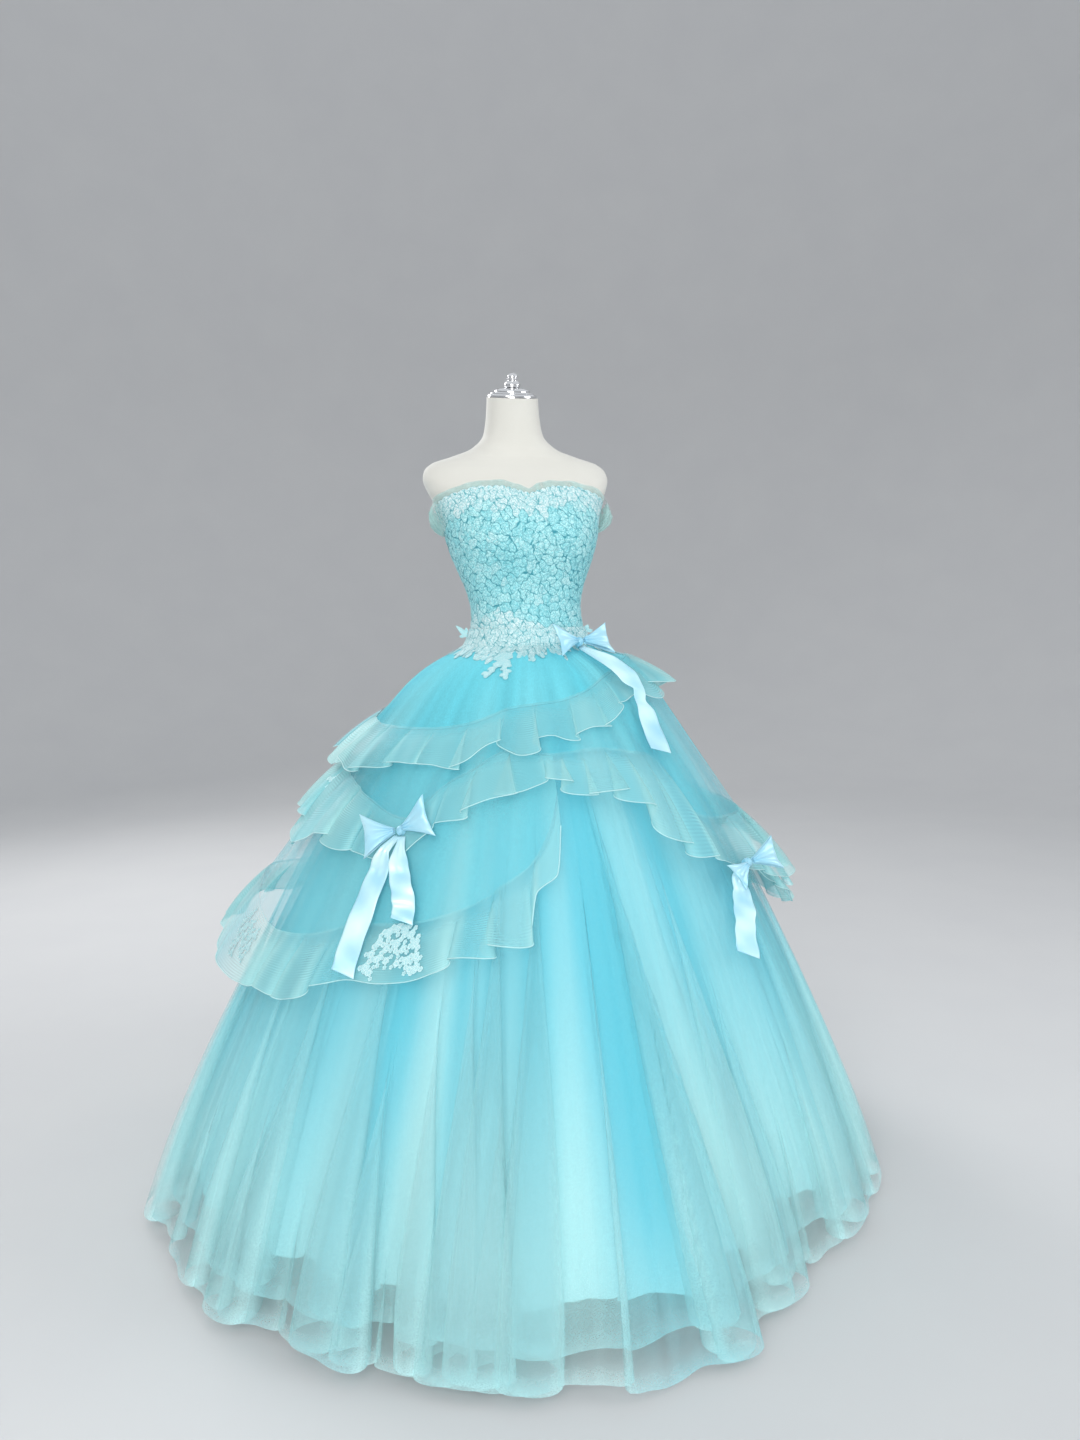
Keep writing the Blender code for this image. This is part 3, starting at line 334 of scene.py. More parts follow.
def turned(name, profile, look, base):
    """A profile of radii and heights spun round, on the tipped top of the neck."""
    neck = TORSO[-1]
    radius, height = np.array(profile).T[:, :, None]
    ring = polar(even_azimuths(96)[None], radius, height + base)
    tip = math.radians(neck.tip)
    x, y, z = ring[..., 0], ring[..., 1], ring[..., 2]
    place = (SIDE_LEAN * (neck.height - WAIST_SEAM), neck.behind, neck.height)
    leaning = [x, y * math.cos(tip) - z * math.sin(tip), y * math.sin(tip) + z * math.cos(tip)]
    piece = surface(name, np.stack(leaning, -1) + place, look, around=True, ends=True)
    piece.data.set_sharp_from_angle(angle=math.radians(38))
    return piece


chrome = Look("polished_chrome", Metallic=1.0, Base_Color=(0.82, 0.82, 0.83, 1.0))
smudges = chrome.noise(chrome.place(), 60.0, Detail=5.0)
chrome.set(Roughness=chrome.ramp(smudges, 0.05, 0.20))
cap = turned("neck_cap_turned", CAP_PROFILE, chrome, SEAM_GAP)
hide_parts("form_neck_cap")
knob = turned("neck_knob_turned", KNOB_PROFILE, chrome, CAP_PROFILE[2][1] + 2 * SEAM_GAP)
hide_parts("form_finial")


# The skirt: a stiff gathered net underskirt, and over it two layers of soft aqua tulle, each cut
# as wide gores, gathered into the waist seam and falling in long folds. Their raw hems hang free,
# one above the other.

Ring = namedtuple("Ring", "height radius fold")
SKIRT = [Ring(*row) for row in (
    (0.010, 0.672, 0.030), (0.150, 0.630, 0.026), (0.300, 0.574, 0.022), (0.400, 0.532, 0.019),
    (0.500, 0.487, 0.016), (0.600, 0.438, 0.013), (0.680, 0.396, 0.011), (0.780, 0.336, 0.009),
    (0.830, 0.302, 0.008), (0.906, 0.248, 0.006), (0.957, 0.208, 0.004), (1.000, 0.160, 0.002),
    (1.015, 0.138, 0.001), (WAIST_SEAM, 0.1165, 0.0003),
)]
HEM = 0.010
SWAY = 0.05
GATHER_LEVEL = 1.004
ROUND_DROP = 0.050
SWELL_TOP = 0.80
Swell = namedtuple("Swell", "azimuth spread out")
SWELLS = [Swell(*row) for row in (
    (-3, 17, 0.030), (31, 13, -0.038), (-82, 20, 0.018), (-38, 12, -0.014), (150, 26, 0.022),
)]
WAIST_STEPS = {"underskirt": 0.0019, "skirt": 0.0050, "overskirt": 0.0084}


def layer_share(height):
    """0 at the waist seam, where the layers are gathered together, and 1 where they part."""
    return smoothstep((WAIST_SEAM - height) / (WAIST_SEAM - GATHER_LEVEL))


def at_waist(height, layer):
    """How far out a layer lies at the waist seam, fading where the layers part."""
    return WAIST_STEPS[layer] * (1 - layer_share(height))


def skirt_radius(azimuth, height):
    """The skirt's mean radius: the figure's section at the waist, then nearly round."""
    height = np.asarray(height, float)
    sway = 1 - SWAY * np.sin(np.radians(azimuth))
    full = column(SKIRT, "radius", height, "height") * sway
    drop = np.clip((SWELL_TOP - height) / (SWELL_TOP - HEM), 0.0, 1.0)
    full = full + sum(swell.out * drop * bell(azimuth, swell.azimuth, swell.spread) for swell in SWELLS)
    seam_ring = SKIRT[-1].radius * sway
    waist = torso_radius(azimuth, np.full(np.shape(height), WAIST_SEAM)) + full - seam_ring
    spread = smoothstep((WAIST_SEAM - height) / ROUND_DROP)
    return waist * (1 - spread) + full * spread


def uneven(azimuth, low, high, seed):
    """An uneven wave round the body: the sum of every count of cycles from low to high, each with
    its own size and start, scaled to a spread of about one."""
    random = np.random.default_rng(seed)
    cycles = np.arange(low, high + 1)
    start, size = random.uniform(0, 2 * np.pi, len(cycles)), random.uniform(0.5, 1.0, len(cycles))
    turn = np.radians(np.asarray(azimuth, float))[..., None]
    return (size * np.cos(cycles * turn + start)).sum(axis=-1) / np.sqrt((size ** 2).sum() / 2)


Crease = namedtuple("Crease", "azimuth depth width top lean")
FRONT_CREASES = [Crease(*row) for row in (
    (-84.5, 0.050, 0.016, 0.50, 0), (-74.0, 0.022, 0.010, 0.24, 1),
    (-65.0, 0.044, 0.012, 0.46, -1), (-59.5, 0.036, 0.009, 0.26, 0),
    (-55.3, 0.056, 0.013, 0.52, 1), (-48.5, 0.014, 0.012, 0.20, 0),
    (-41.9, 0.058, 0.013, 0.55, 1), (-37.6, 0.050, 0.008, 0.36, 0),
    (-36.0, 0.030, 0.006, 0.22, 0), (-32.6, 0.012, 0.008, 0.16, 0),
    (-29.1, 0.046, 0.009, 0.44, -1), (-26.9, 0.026, 0.006, 0.22, 0),
    (-24.7, 0.056, 0.011, 0.50, 0), (-21.0, 0.058, 0.007, 0.60, 1),
    (-19.6, 0.046, 0.006, 0.34, 1), (-17.0, 0.012, 0.006, 0.15, 0),
    (-14.6, 0.066, 0.011, 0.66, 2), (-3.2, 0.014, 0.007, 0.70, 1), (10.2, 0.066, 0.010, 0.72, -5),
    (11.9, 0.030, 0.006, 0.55, -5), (20.9, 0.054, 0.011, 0.60, -3),
    (25.1, 0.050, 0.009, 0.42, -1), (33.5, 0.018, 0.010, 0.24, 0), (40.5, 0.030, 0.009, 0.34, 0),
    (47.7, 0.058, 0.014, 0.56, 0), (57.0, 0.030, 0.010, 0.30, 0), (63.0, 0.052, 0.012, 0.50, 0),
    (71.0, 0.036, 0.009, 0.34, 0), (80.0, 0.056, 0.013, 0.56, 0), (89.0, 0.030, 0.010, 0.30, 0),
)]
HEM_SWELLS = [Swell(*row) for row in (
    (-2, 10, 0.024), (-20, 4, -0.024), (26, 6, -0.010), (-48, 6, 0.008),
)]
BACK_CREASES, BACK_START, BACK_END = 24, 96.0, 264.0
RIM_OUT, RIM_WIDE = 0.45, 3.4
ROLL_OVER = 0.62
CROWDING, CROWD_SPREAD = 70.0, 1.7
TOP_STRETCH, LEAN_FALL = 1.25, 0.6
FULL_DEPTH = 0.04
SOFT_SWELL = 0.0045
HEM_UNEVEN, PANEL_UNEVEN = 0.16, 0.25


def back_creases():
    """The folds of the back, as uneven as the front's."""
    random = np.random.default_rng(17)
    places = np.arange(BACK_CREASES) + random.uniform(-0.33, 0.33, BACK_CREASES)
    return [
        Crease(place, *(random.uniform(*ends) for ends in ((0.020, 0.062), (0.007, 0.014), (0.22, 0.62))), 0)
        for place in BACK_START + (BACK_END - BACK_START) * places / (BACK_CREASES - 1)
    ]


CREASES = FRONT_CREASES + back_creases()


def crowded_azimuths(count):
    """Azimuths all round, closer together near each crease, where the cloth turns sharply."""
    fine = np.linspace(-180.0, 180.0, 7201)
    crowd = sum(crease.depth * bell(fine, crease.azimuth, CROWD_SPREAD) for crease in CREASES)
    crowd = 1.0 + CROWDING * crowd
    total = np.concatenate([[0.0], np.cumsum(0.5 * (crowd[1:] + crowd[:-1]))])
    return np.interp(np.arange(count) / count * total[-1], total, fine)


def folded(azimuth, height, radius, deep, seed):
    """Where the creases take a layer: how far in, how far round, and how near it is to a rim.

    Each crease is a bell-shaped trough, exp(-(d / width)^2), where d is the distance round the
    skirt from its middle. Both rims stand out a little, and roll over the trough by the bell's
    own slope. It deepens from nothing at its top down to the hem, and leans as it goes.
    """
    random = np.random.default_rng(seed)
    inward, around, steep = 0.0, 0.0, 0.0
    for crease in CREASES:
        top = TOP_STRETCH * crease.top
        grown = smoothstep((top - height) / (top - HEM))
        middle = crease.azimuth + random.uniform(-0.7, 0.7) + crease.lean * (height - HEM) / LEAN_FALL
        width = crease.width * (0.35 + 0.65 * grown) * random.uniform(0.85, 1.25)
        off = np.radians(wrapped(azimuth - middle)) * radius / width
        depth = deep * crease.depth * grown
        inward = inward + depth * (np.exp(-(off ** 2)) - RIM_OUT * np.exp(-((off / RIM_WIDE) ** 2)))
        around = around - ROLL_OVER * depth * off * np.exp(0.5 - 0.5 * off ** 2)
        rim = np.exp(-((np.abs(off) - 1.0) ** 2) * 7.0) * min(1.0, crease.depth / FULL_DEPTH)
        steep = np.maximum(steep, grown ** 0.7 * rim)
    return inward, np.degrees(around / radius), steep


def hanging_layer(hem, inset, drop, deep, ripple, seed, columns=1320, rows=32):
    """A gathered layer of the skirt: its points, their shares of the drop, how steep they are, and
    their azimuths.

    Its radius is the skirt's mean radius less inset, plus wide soft swells and small ripples,
    less the troughs of its creases. Its hem rises and falls by drop, and each panel between two
    creases hangs a little longer or shorter than the next.
    """
    azimuth = crowded_azimuths(columns)
    share = down_cloth(rows) ** 0.85
    panel = np.searchsorted(sorted(crease.azimuth for crease in CREASES), (azimuth + 90.0) % 360.0 - 90.0)
    lower = HEM_UNEVEN * uneven(azimuth, 5, 40, seed + 1) + PANEL_UNEVEN * np.sin(2.4 * panel + seed)
    low = hem + drop * (0.5 + lower)
    height = (WAIST_SEAM - SEAM_GAP) * (1 - share) + low * share
    mean = skirt_radius(azimuth, height)
    inward, around, steep = folded(azimuth, height, mean, deep, seed)
    falling = np.clip((WAIST_SEAM - height) / (WAIST_SEAM - HEM), 0.0, 1.0)
    soft = SOFT_SWELL * uneven(azimuth, 7, 22, seed + 3) * falling ** 1.3
    fine = ripple * uneven(azimuth, 60, 130, seed + 4) * falling ** 1.6
    front = sum(swell.out * bell(azimuth, swell.azimuth, swell.spread) for swell in HEM_SWELLS)
    radius = mean - inset * layer_share(height) - inward + soft + fine + front * falling ** 2.5
    return polar(azimuth + around, radius + at_waist(height, "skirt"), height), share, steep, azimuth


Band = namedtuple("Band", "azimuth spread tone lean")
BANDS = [Band(*row) for row in (
    (-66, 4.0, -0.7, 0), (-56, 3.5, 0.6, 0), (-45.5, 2.8, -0.9, 0), (-39.5, 3.0, 0.9, 2),
    (-31, 3.0, -1.0, 0), (-27, 1.3, 0.5, 0), (-24.2, 1.2, -0.6, 0), (-21, 1.9, 0.4, 0),
    (-17, 1.8, -0.5, 0), (-12.8, 2.0, 0.8, 1), (-7.4, 3.2, -1.3, 1), (2.8, 5.6, 1.9, -2),
    (10.8, 2.0, -1.3, -4), (16.4, 3.6, -1.2, -4), (23.0, 2.6, 1.1, -2), (31, 4.2, -0.8, 0),
    (40, 3.0, -0.3, 0), (49, 3.4, 0.6, 0), (60, 4.0, -0.7, 0), (72, 4.0, 0.5, 0),
)]


def streaks(azimuth, height):
    """Bands where the deep aqua shows through, against paler ones, which also paint the light and shade of
    the folds: partly painted light in the pale bands and partly painted shade in the deep ones. Below 0
    pale, above 0 deep.
    """
    tone = 0.30 * uneven(azimuth, 12, 40, 71) * (1 - bell(azimuth, 2.0, 14.0))
    for band in BANDS:
        tone = tone + band.tone * bell(azimuth, band.azimuth + band.lean * (height - 0.3) / 0.4, band.spread)
    behind = smoothstep((np.abs(wrapped(azimuth)) - 75.0) / 15.0)
    return tone + behind * 0.5 * uneven(azimuth, 7, 30, 72)


def below(height, level, depth):
    """0 above this level, and 1 once this much lower."""
    return smoothstep((level - height) / depth)


def near_hem(share):
    """1 in the last hundredth of a layer's length, where its raw edge looks denser, else 0."""
    return smoothstep((share - 0.985) / 0.010)


NET_HOLE, PALE_FROM, PALE_OVER = 0.20, 0.62, 0.55


def tulle(name, pale, deep, clear, thick):
    """Soft net: pale to deep colour by the attribute streak, clear to thick by the attribute
    dense, broken up by the net's own mesh of holes about a millimetre across."""
    look = Look(
        name, Roughness=0.85, Specular_IOR_Level=0.15, Sheen_Weight=0.12, Sheen_Roughness=0.6,
        Sheen_Tint=(0.6, 0.95, 1.0, 1.0))
    net = look.cells(look.along_cloth(), 700.0)
    open_net = look.ramp(net, 1.0 + NET_HOLE, 1.0 - NET_HOLE, 0.0, 0.25)
    base = look.ramp(look.painted("dense"), clear, thick)
    look.set(
        Base_Color=look.blend(look.painted("streak"), pale, deep),
        Alpha=look.math("MULTIPLY", base, open_net, clamp=True))
    return look


# The net underneath is opaque, being many layers thick, and is wrinkled towards its hem.
net = Look("stiff_white_net", Roughness=0.9, Specular_IOR_Level=0.2)
net.set(Base_Color=net.blend(net.painted("streak"), (0.58, 0.90, 0.91), (0.19, 0.71, 0.83)))
net.relief(net.noise(net.place(), 38.0, Detail=6.0, Roughness=0.7), net.painted("dense"), 0.004)
grid, _, _, azimuth = hanging_layer(
    hem=0.088, inset=0.032, drop=0.020, deep=0.85, ripple=0.0012, seed=11, columns=1140, rows=28)
height = grid[..., 2]
bands = 0.42 * streaks(azimuth, height) * (1 - 0.75 * below(height, 0.26, 0.2))
underskirt = surface(
    "underskirt_gathered", grid, net, around=True,
    streak=np.clip(0.85 - 0.55 * below(height, PALE_FROM, PALE_OVER) + bands, 0, 1),
    dense=0.7 * below(height, 0.24, 0.12))
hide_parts("underskirt_net")

inner_tulle = tulle("aqua_tulle_inner", (0.50, 0.89, 0.91), (0.16, 0.69, 0.82), 0.24, 0.72)
grid, share, steep, azimuth = hanging_layer(
    hem=0.048, inset=0.014, drop=0.018, deep=1.25, ripple=0.0006, seed=23)
height = grid[..., 2]
bands = 0.34 * streaks(azimuth + 0.6, height) * (1 - 0.6 * below(height, 0.25, 0.2))
# The steep term paints the crease rims paler: a painted highlight along the fold edges.
deepness = 0.80 - 0.60 * below(height, PALE_FROM, PALE_OVER) - 0.3 * steep + bands
density = 0.36 + 0.48 * steep + 0.03 * uneven(azimuth, 60, 170, 28)
density = density - 0.30 * below(height, 0.20, 0.15) + 0.30 * near_hem(share)
inner = surface(
    "skirt_inner_tulle", grid, inner_tulle, around=True, streak=np.clip(deepness, 0, 1), dense=density)

outer_tulle = tulle("aqua_tulle_outer", (0.57, 0.91, 0.92), (0.22, 0.72, 0.82), 0.12, 0.66)
grid, share, steep, azimuth = hanging_layer(
    hem=0.012, inset=-0.004, drop=0.018, deep=1.45, ripple=0.0003, seed=37)
height = grid[..., 2]
bands = 0.28 * streaks(azimuth - 0.4, height)
# The steep term paints the crease rims paler: a painted highlight along the fold edges.
deepness = 0.75 - 0.60 * below(height, PALE_FROM, PALE_OVER) - 0.4 * steep + bands
density = 0.24 + 0.66 * steep + 0.035 * uneven(azimuth, 60, 170, 38)
density = density - 0.12 * below(height, 0.20, 0.15) + 0.45 * near_hem(share)
outer = surface(
    "skirt_outer_tulle", grid, outer_tulle, around=True, streak=np.clip(deepness, 0, 1), dense=density)
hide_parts("skirt_tulle")


# The overskirt: three tiers of tulle hung from the waist seam and swagged up under the bows. Each
# ends in a gathered flounce of stiff organza, sewn on near its top, its lower edge rolled.

Stage = namedtuple("Stage", "azimuth seam hem reach billow")
UPPER_STAGES = [Stage(*row) for row in (
    (-150, 0.935, 0.860, 0.018, 0.006), (-120, 0.915, 0.842, 0.020, 0.010),
    (-98, 0.896, 0.830, 0.022, 0.012), (-75, 0.888, 0.822, 0.018, 0.010),
    (-50, 0.890, 0.832, 0.014, 0.006), (-35, 0.900, 0.846, 0.010, 0.004),
    (-20, 0.925, 0.862, 0.008, 0.003), (0, 0.935, 0.876, 0.008, 0.003),
    (14, 0.950, 0.898, 0.008, 0.003), (27, 0.968, 0.924, 0.008, 0.002),
    (42, 0.980, 0.940, 0.012, 0.001), (58, 0.992, 0.946, 0.018, 0.012),
    (74, 1.004, 0.948, 0.024, 0.030), (92, 0.992, 0.938, 0.024, 0.024),
    (120, 0.972, 0.915, 0.024, 0.008), (160, 0.955, 0.880, 0.014, 0.005),
)]
MIDDLE_STAGES = [Stage(*row) for row in (
    (-165, 0.805, 0.725, 0.018, 0.010), (-130, 0.800, 0.715, 0.026, 0.012),
    (-98, 0.818, 0.728, 0.016, 0.012), (-78, 0.802, 0.706, 0.018, 0.010),
    (-60, 0.772, 0.698, 0.014, 0.006), (-46, 0.750, 0.690, 0.008, 0.004),
    (-38, 0.800, 0.734, 0.008, 0.004), (-29, 0.832, 0.772, 0.010, 0.004),
    (-21, 0.856, 0.803, 0.012, 0.004), (-6, 0.850, 0.796, 0.012, 0.004),
    (8, 0.855, 0.798, 0.012, 0.004), (16, 0.850, 0.780, 0.012, 0.004),
    (23, 0.842, 0.700, 0.016, 0.004), (29, 0.836, 0.664, 0.018, 0.004),
    (37, 0.732, 0.655, 0.014, 0.004), (44, 0.716, 0.636, 0.010, 0.004),
    (56, 0.708, 0.600, 0.020, 0.010), (72, 0.700, 0.575, 0.026, 0.018),
    (92, 0.702, 0.595, 0.024, 0.014), (120, 0.735, 0.650, 0.022, 0.008),
    (155, 0.780, 0.700, 0.016, 0.010),
)]
LOWER_STAGES = [Stage(*row) for row in (
    (-306, 0.686, 0.640, 0.000, 0.001), (-300, 0.650, 0.585, 0.004, 0.002),
    (-288, 0.600, 0.525, 0.010, 0.004), (-268, 0.570, 0.490, 0.016, 0.008),
    (-240, 0.545, 0.465, 0.018, 0.012), (-200, 0.525, 0.445, 0.018, 0.014),
    (-160, 0.530, 0.450, 0.020, 0.018), (-125, 0.566, 0.482, 0.022, 0.026),
    (-97, 0.604, 0.508, 0.026, 0.034), (-84, 0.574, 0.468, 0.018, 0.028),
    (-70, 0.552, 0.468, 0.016, 0.016), (-60, 0.562, 0.482, 0.014, 0.010),
    (-50, 0.588, 0.509, 0.012, 0.007), (-36, 0.604, 0.526, 0.010, 0.006),
    (-27, 0.626, 0.552, 0.010, 0.005), (-21, 0.650, 0.562, 0.010, 0.004),
    (-19, 0.660, 0.594, 0.014, 0.004), (-13, 0.692, 0.602, 0.012, 0.003),
    (-11.6, 0.704, 0.662, 0.008, 0.002), (-8, 0.752, 0.676, 0.006, 0.002),
    (-6, 0.792, 0.745, 0.001, 0.001),
)]
Turn = namedtuple("Turn", "azimuth depth width")
UPPER_TURNS = [Turn(*row) for row in (
    (-118, 0.024, 0.012), (-102, 0.030, 0.012), (-93, -0.020, 0.014), (-84, 0.030, 0.012),
    (-71, 0.024, 0.012), (-58, 0.026, 0.010), (-47, 0.016, 0.010), (-35, 0.022, 0.010),
    (-23, 0.014, 0.010), (-11, 0.018, 0.010), (3, 0.014, 0.010), (15, 0.020, 0.010),
    (26, 0.024, 0.010), (46, 0.022, 0.010), (60, 0.030, 0.012), (71, -0.024, 0.020),
    (86, 0.030, 0.014), (98, 0.030, 0.012), (117, 0.024, 0.012), (139, 0.028, 0.012),
    (158, 0.022, 0.012), (177, 0.028, 0.012), (201, 0.022, 0.012), (222, 0.028, 0.012),
)]
MIDDLE_TURNS = [Turn(*row) for row in (
    (-122, 0.028, 0.014), (-107, 0.032, 0.014), (-96, -0.030, 0.018), (-85, 0.036, 0.014),
    (-75, -0.016, 0.014), (-67, 0.030, 0.013), (-57, 0.028, 0.012), (-37, 0.024, 0.012),
    (-29, 0.022, 0.010), (-19.5, 0.038, 0.012), (-9, 0.014, 0.010), (-3.5, 0.026, 0.010),
    (3, 0.022, 0.010), (11.5, 0.032, 0.012), (19, 0.026, 0.012), (26, 0.030, 0.012),
    (33, 0.020, 0.012), (53, 0.026, 0.012), (61, 0.030, 0.013), (69, -0.036, 0.014),
    (79, 0.034, 0.014), (89, -0.020, 0.014), (104, 0.030, 0.014), (121, 0.034, 0.014),
    (136, 0.026, 0.014), (155, 0.034, 0.014), (170, 0.026, 0.014), (189, 0.034, 0.014),
    (206, 0.028, 0.014), (222, 0.034, 0.014),
)]
LOWER_TURNS = [Turn(*row) for row in (
    (-296, 0.020, 0.012), (-284, 0.028, 0.014), (-270, 0.032, 0.014), (-257, 0.026, 0.014),
    (-241, 0.034, 0.014), (-226, 0.026, 0.014), (-211, 0.032, 0.014), (-197, 0.026, 0.014),
    (-180, 0.034, 0.014), (-165, 0.028, 0.014), (-149, 0.034, 0.014), (-134, 0.028, 0.014),
    (-119, 0.036, 0.016), (-105, 0.030, 0.014), (-96, -0.026, 0.015), (-88, 0.018, 0.012),
    (-68, 0.036, 0.014), (-61, 0.030, 0.012), (-53, 0.020, 0.012), (-28, 0.026, 0.012),
    (-21, 0.034, 0.012), (-13.5, 0.026, 0.010),
)]
Pinch = namedtuple("Pinch", "azimuth spread")
Tier = namedtuple("Tier", "name stages closed waves wave_depth pinches turns")
TIERS = (
    Tier("upper", UPPER_STAGES, True, 20, 0.016, [Pinch(34, 8)], UPPER_TURNS),
    Tier("middle", MIDDLE_STAGES, True, 24, 0.018, [Pinch(-45, 9), Pinch(44, 8)], MIDDLE_TURNS),
    Tier("lower", LOWER_STAGES, False, 20, 0.018, [Pinch(-37, 8), Pinch(-80, 12)], LOWER_TURNS),
)
Drift = namedtuple("Drift", "amount cycles")
GATHER_DRIFT = (Drift(0.9, 3), Drift(0.5, 7))
TIER_LIFT = 0.008
OVER_FOLDS = 1.1
STITCH_RISE = 0.004
FLOUNCE_STANDOFF = 0.0021
END_TAPER_DEG = 16.0
TURN_ROLL, TURN_RIM_OUT, TURN_RIM_WIDE = 0.80, 0.5, 2.6
WAVE_SHARE, WAVE_UNEVEN, WAVE_LIFT = 0.80, 0.45, 0.30
HEM_DIP = 0.011
PANEL_PLEAT, PANEL_SWELL = 0.0002, 0.0030
EDGE_THREAD = 0.0008


def stage_value(tier, name, azimuth):
    """One column of a tier's stages at these azimuths. An open tier ends at its last stage."""
    azimuth = wrapped(azimuth)
    if not tier.closed:
        azimuth = np.where(azimuth > tier.stages[-1].azimuth + 1e-6, azimuth - 360.0, azimuth)
    return column(tier.stages, name, azimuth, turn=360 if tier.closed else 0)


def shell_radius(azimuth, height, lift, clear=0.0):
    """A layer laid over the skirt's folds: lifted off them below the gathers, clear all over."""
    over_folds = OVER_FOLDS * column(SKIRT, "fold", height, "height") + lift
    radius = skirt_radius(azimuth, height) + over_folds * layer_share(height)
    return radius + at_waist(height, "overskirt") + clear


def panel_lift(index, azimuth, share):
    """How far a panel stands off the skirt, from the seam above it to its own seam."""
    above = stage_value(TIERS[index - 1], "billow", azimuth) if index else 0.0
    own = stage_value(TIERS[index], "billow", azimuth)
    return TIER_LIFT + above * (1 - share) ** 2 + own * share ** 1.5


def panel_ends(index, azimuth):
    """The heights a panel shows between: the waist or the seam above it, and its own seam."""
    above = WAIST_SEAM - SEAM_GAP
    if index:
        above = stage_value(TIERS[index - 1], "seam", azimuth) - 1.5 * SEAM_GAP
    return above, stage_value(TIERS[index], "seam", azimuth)


def panel_points(index, azimuth, height, out=0.0):
    """Points of a tier's panel at these heights, moved out."""
    top, seam = panel_ends(index, azimuth)
    share = np.clip((top - height) / (top - seam), 0.0, 1.0)
    lift = panel_lift(index, azimuth, share)
    return polar(azimuth, shell_radius(azimuth, height, lift) + out, height)


def gather_phase(tier, azimuth):
    """The gathers' phase round a tier, closer here and wider there."""
    span = 360.0 if tier.closed else tier.stages[-1].azimuth - tier.stages[0].azimuth
    turn = np.radians(azimuth)
    strayed = sum(drift.amount * np.sin(drift.cycles * turn + tier.waves) for drift in GATHER_DRIFT)
    return tier.waves * 360.0 / span * turn + strayed


def wave_depth(tier, azimuth):
    """A flounce's waves: flat under a bow or a motif, and shallow towards a tucked end."""
    depth = np.full(np.shape(azimuth), tier.wave_depth)
    for pinch in tier.pinches:
        depth = depth * (1 - bell(azimuth, pinch.azimuth, pinch.spread))
    if not tier.closed:
        from_start = azimuth - tier.stages[0].azimuth
        to_end = tier.stages[-1].azimuth - azimuth
        depth = depth * smoothstep(np.minimum(from_start, to_end) / END_TAPER_DEG)
    return depth


def tier_azimuths(tier, closed_count, open_count):
    """This many azimuths all round a closed tier, or from end to end of an open one."""
    if tier.closed:
        return even_azimuths(closed_count)
    return np.linspace(tier.stages[0].azimuth, tier.stages[-1].azimuth, open_count)


def flounce_points(index, azimuth, share, out=0.0):
    """Points of a ruffle: share 0 is its stitching and 1 its rolled edge.

    The radius reaches out from the seam and waves with the gathers' phase, in waves that are
    nearly straight from crest to trough. At each of its turns the ruffle dips in a bell-shaped
    trough, and both rims roll over it by the bell's own slope, as a box pleat's edges do.
    """
    tier = TIERS[index]
    top = stage_value(tier, "seam", azimuth) + STITCH_RISE
    hem = stage_value(tier, "hem", azimuth)
    loose = wave_depth(tier, azimuth) / tier.wave_depth
    wave = 0.5 + np.arcsin(0.96 * np.sin(gather_phase(tier, azimuth))) / np.pi
    depth = WAVE_SHARE * tier.wave_depth * loose
    depth = depth * (1 + WAVE_UNEVEN * uneven(azimuth, 5, 14, 300 + index))
    curve = np.sin(0.5 * np.pi * share) ** 0.9
    reach = stage_value(tier, "reach", azimuth) * curve + depth * wave * share ** 0.7
    lift = panel_lift(index, azimuth, 1.0)
    mean = shell_radius(azimuth, hem, lift)
    inward, around = 0.0, 0.0
    for turn in tier.turns:
        off = np.radians(wrapped(azimuth - turn.azimuth)) * mean / turn.width
        grown = turn.depth * loose * (0.12 + 0.88 * share ** (0.7 if turn.depth > 0 else 0.45))
        rims = TURN_RIM_OUT * np.exp(-((off / TURN_RIM_WIDE) ** 2))
        inward = inward + grown * (np.exp(-(off ** 2)) - rims)
        around = around - TURN_ROLL * grown * off * np.exp(0.5 - 0.5 * off ** 2)
    dip = HEM_DIP * uneven(azimuth, 8, 24, 320 + index) * loose * share ** 1.5
    height = top + (hem - top) * share - dip + WAVE_LIFT * depth * wave * share ** 2
    radius = shell_radius(azimuth, height, lift, FLOUNCE_STANDOFF) + reach - inward + out
    return polar(azimuth + np.degrees(around / mean), radius, height)


def unit(vectors):
    """The same directions, each one metre long."""
    return vectors / np.linalg.norm(vectors, axis=-1, keepdims=True)


def rolled_edge(name, line, radius, look):
    """A closed or open line of points with a six-sided thread round it."""
    along = unit(np.gradient(line, axis=0))
    beside = unit(np.cross(along, (0.0, 0.0, 1.0)))
    over = np.cross(beside, along)
    turn = np.radians(60.0 * np.arange(6))[:, None, None]
    ring = line + radius * (np.cos(turn) * beside + np.sin(turn) * over)
    return surface(name, np.swapaxes(ring, 0, 1)[:, ::-1], look, around=True)


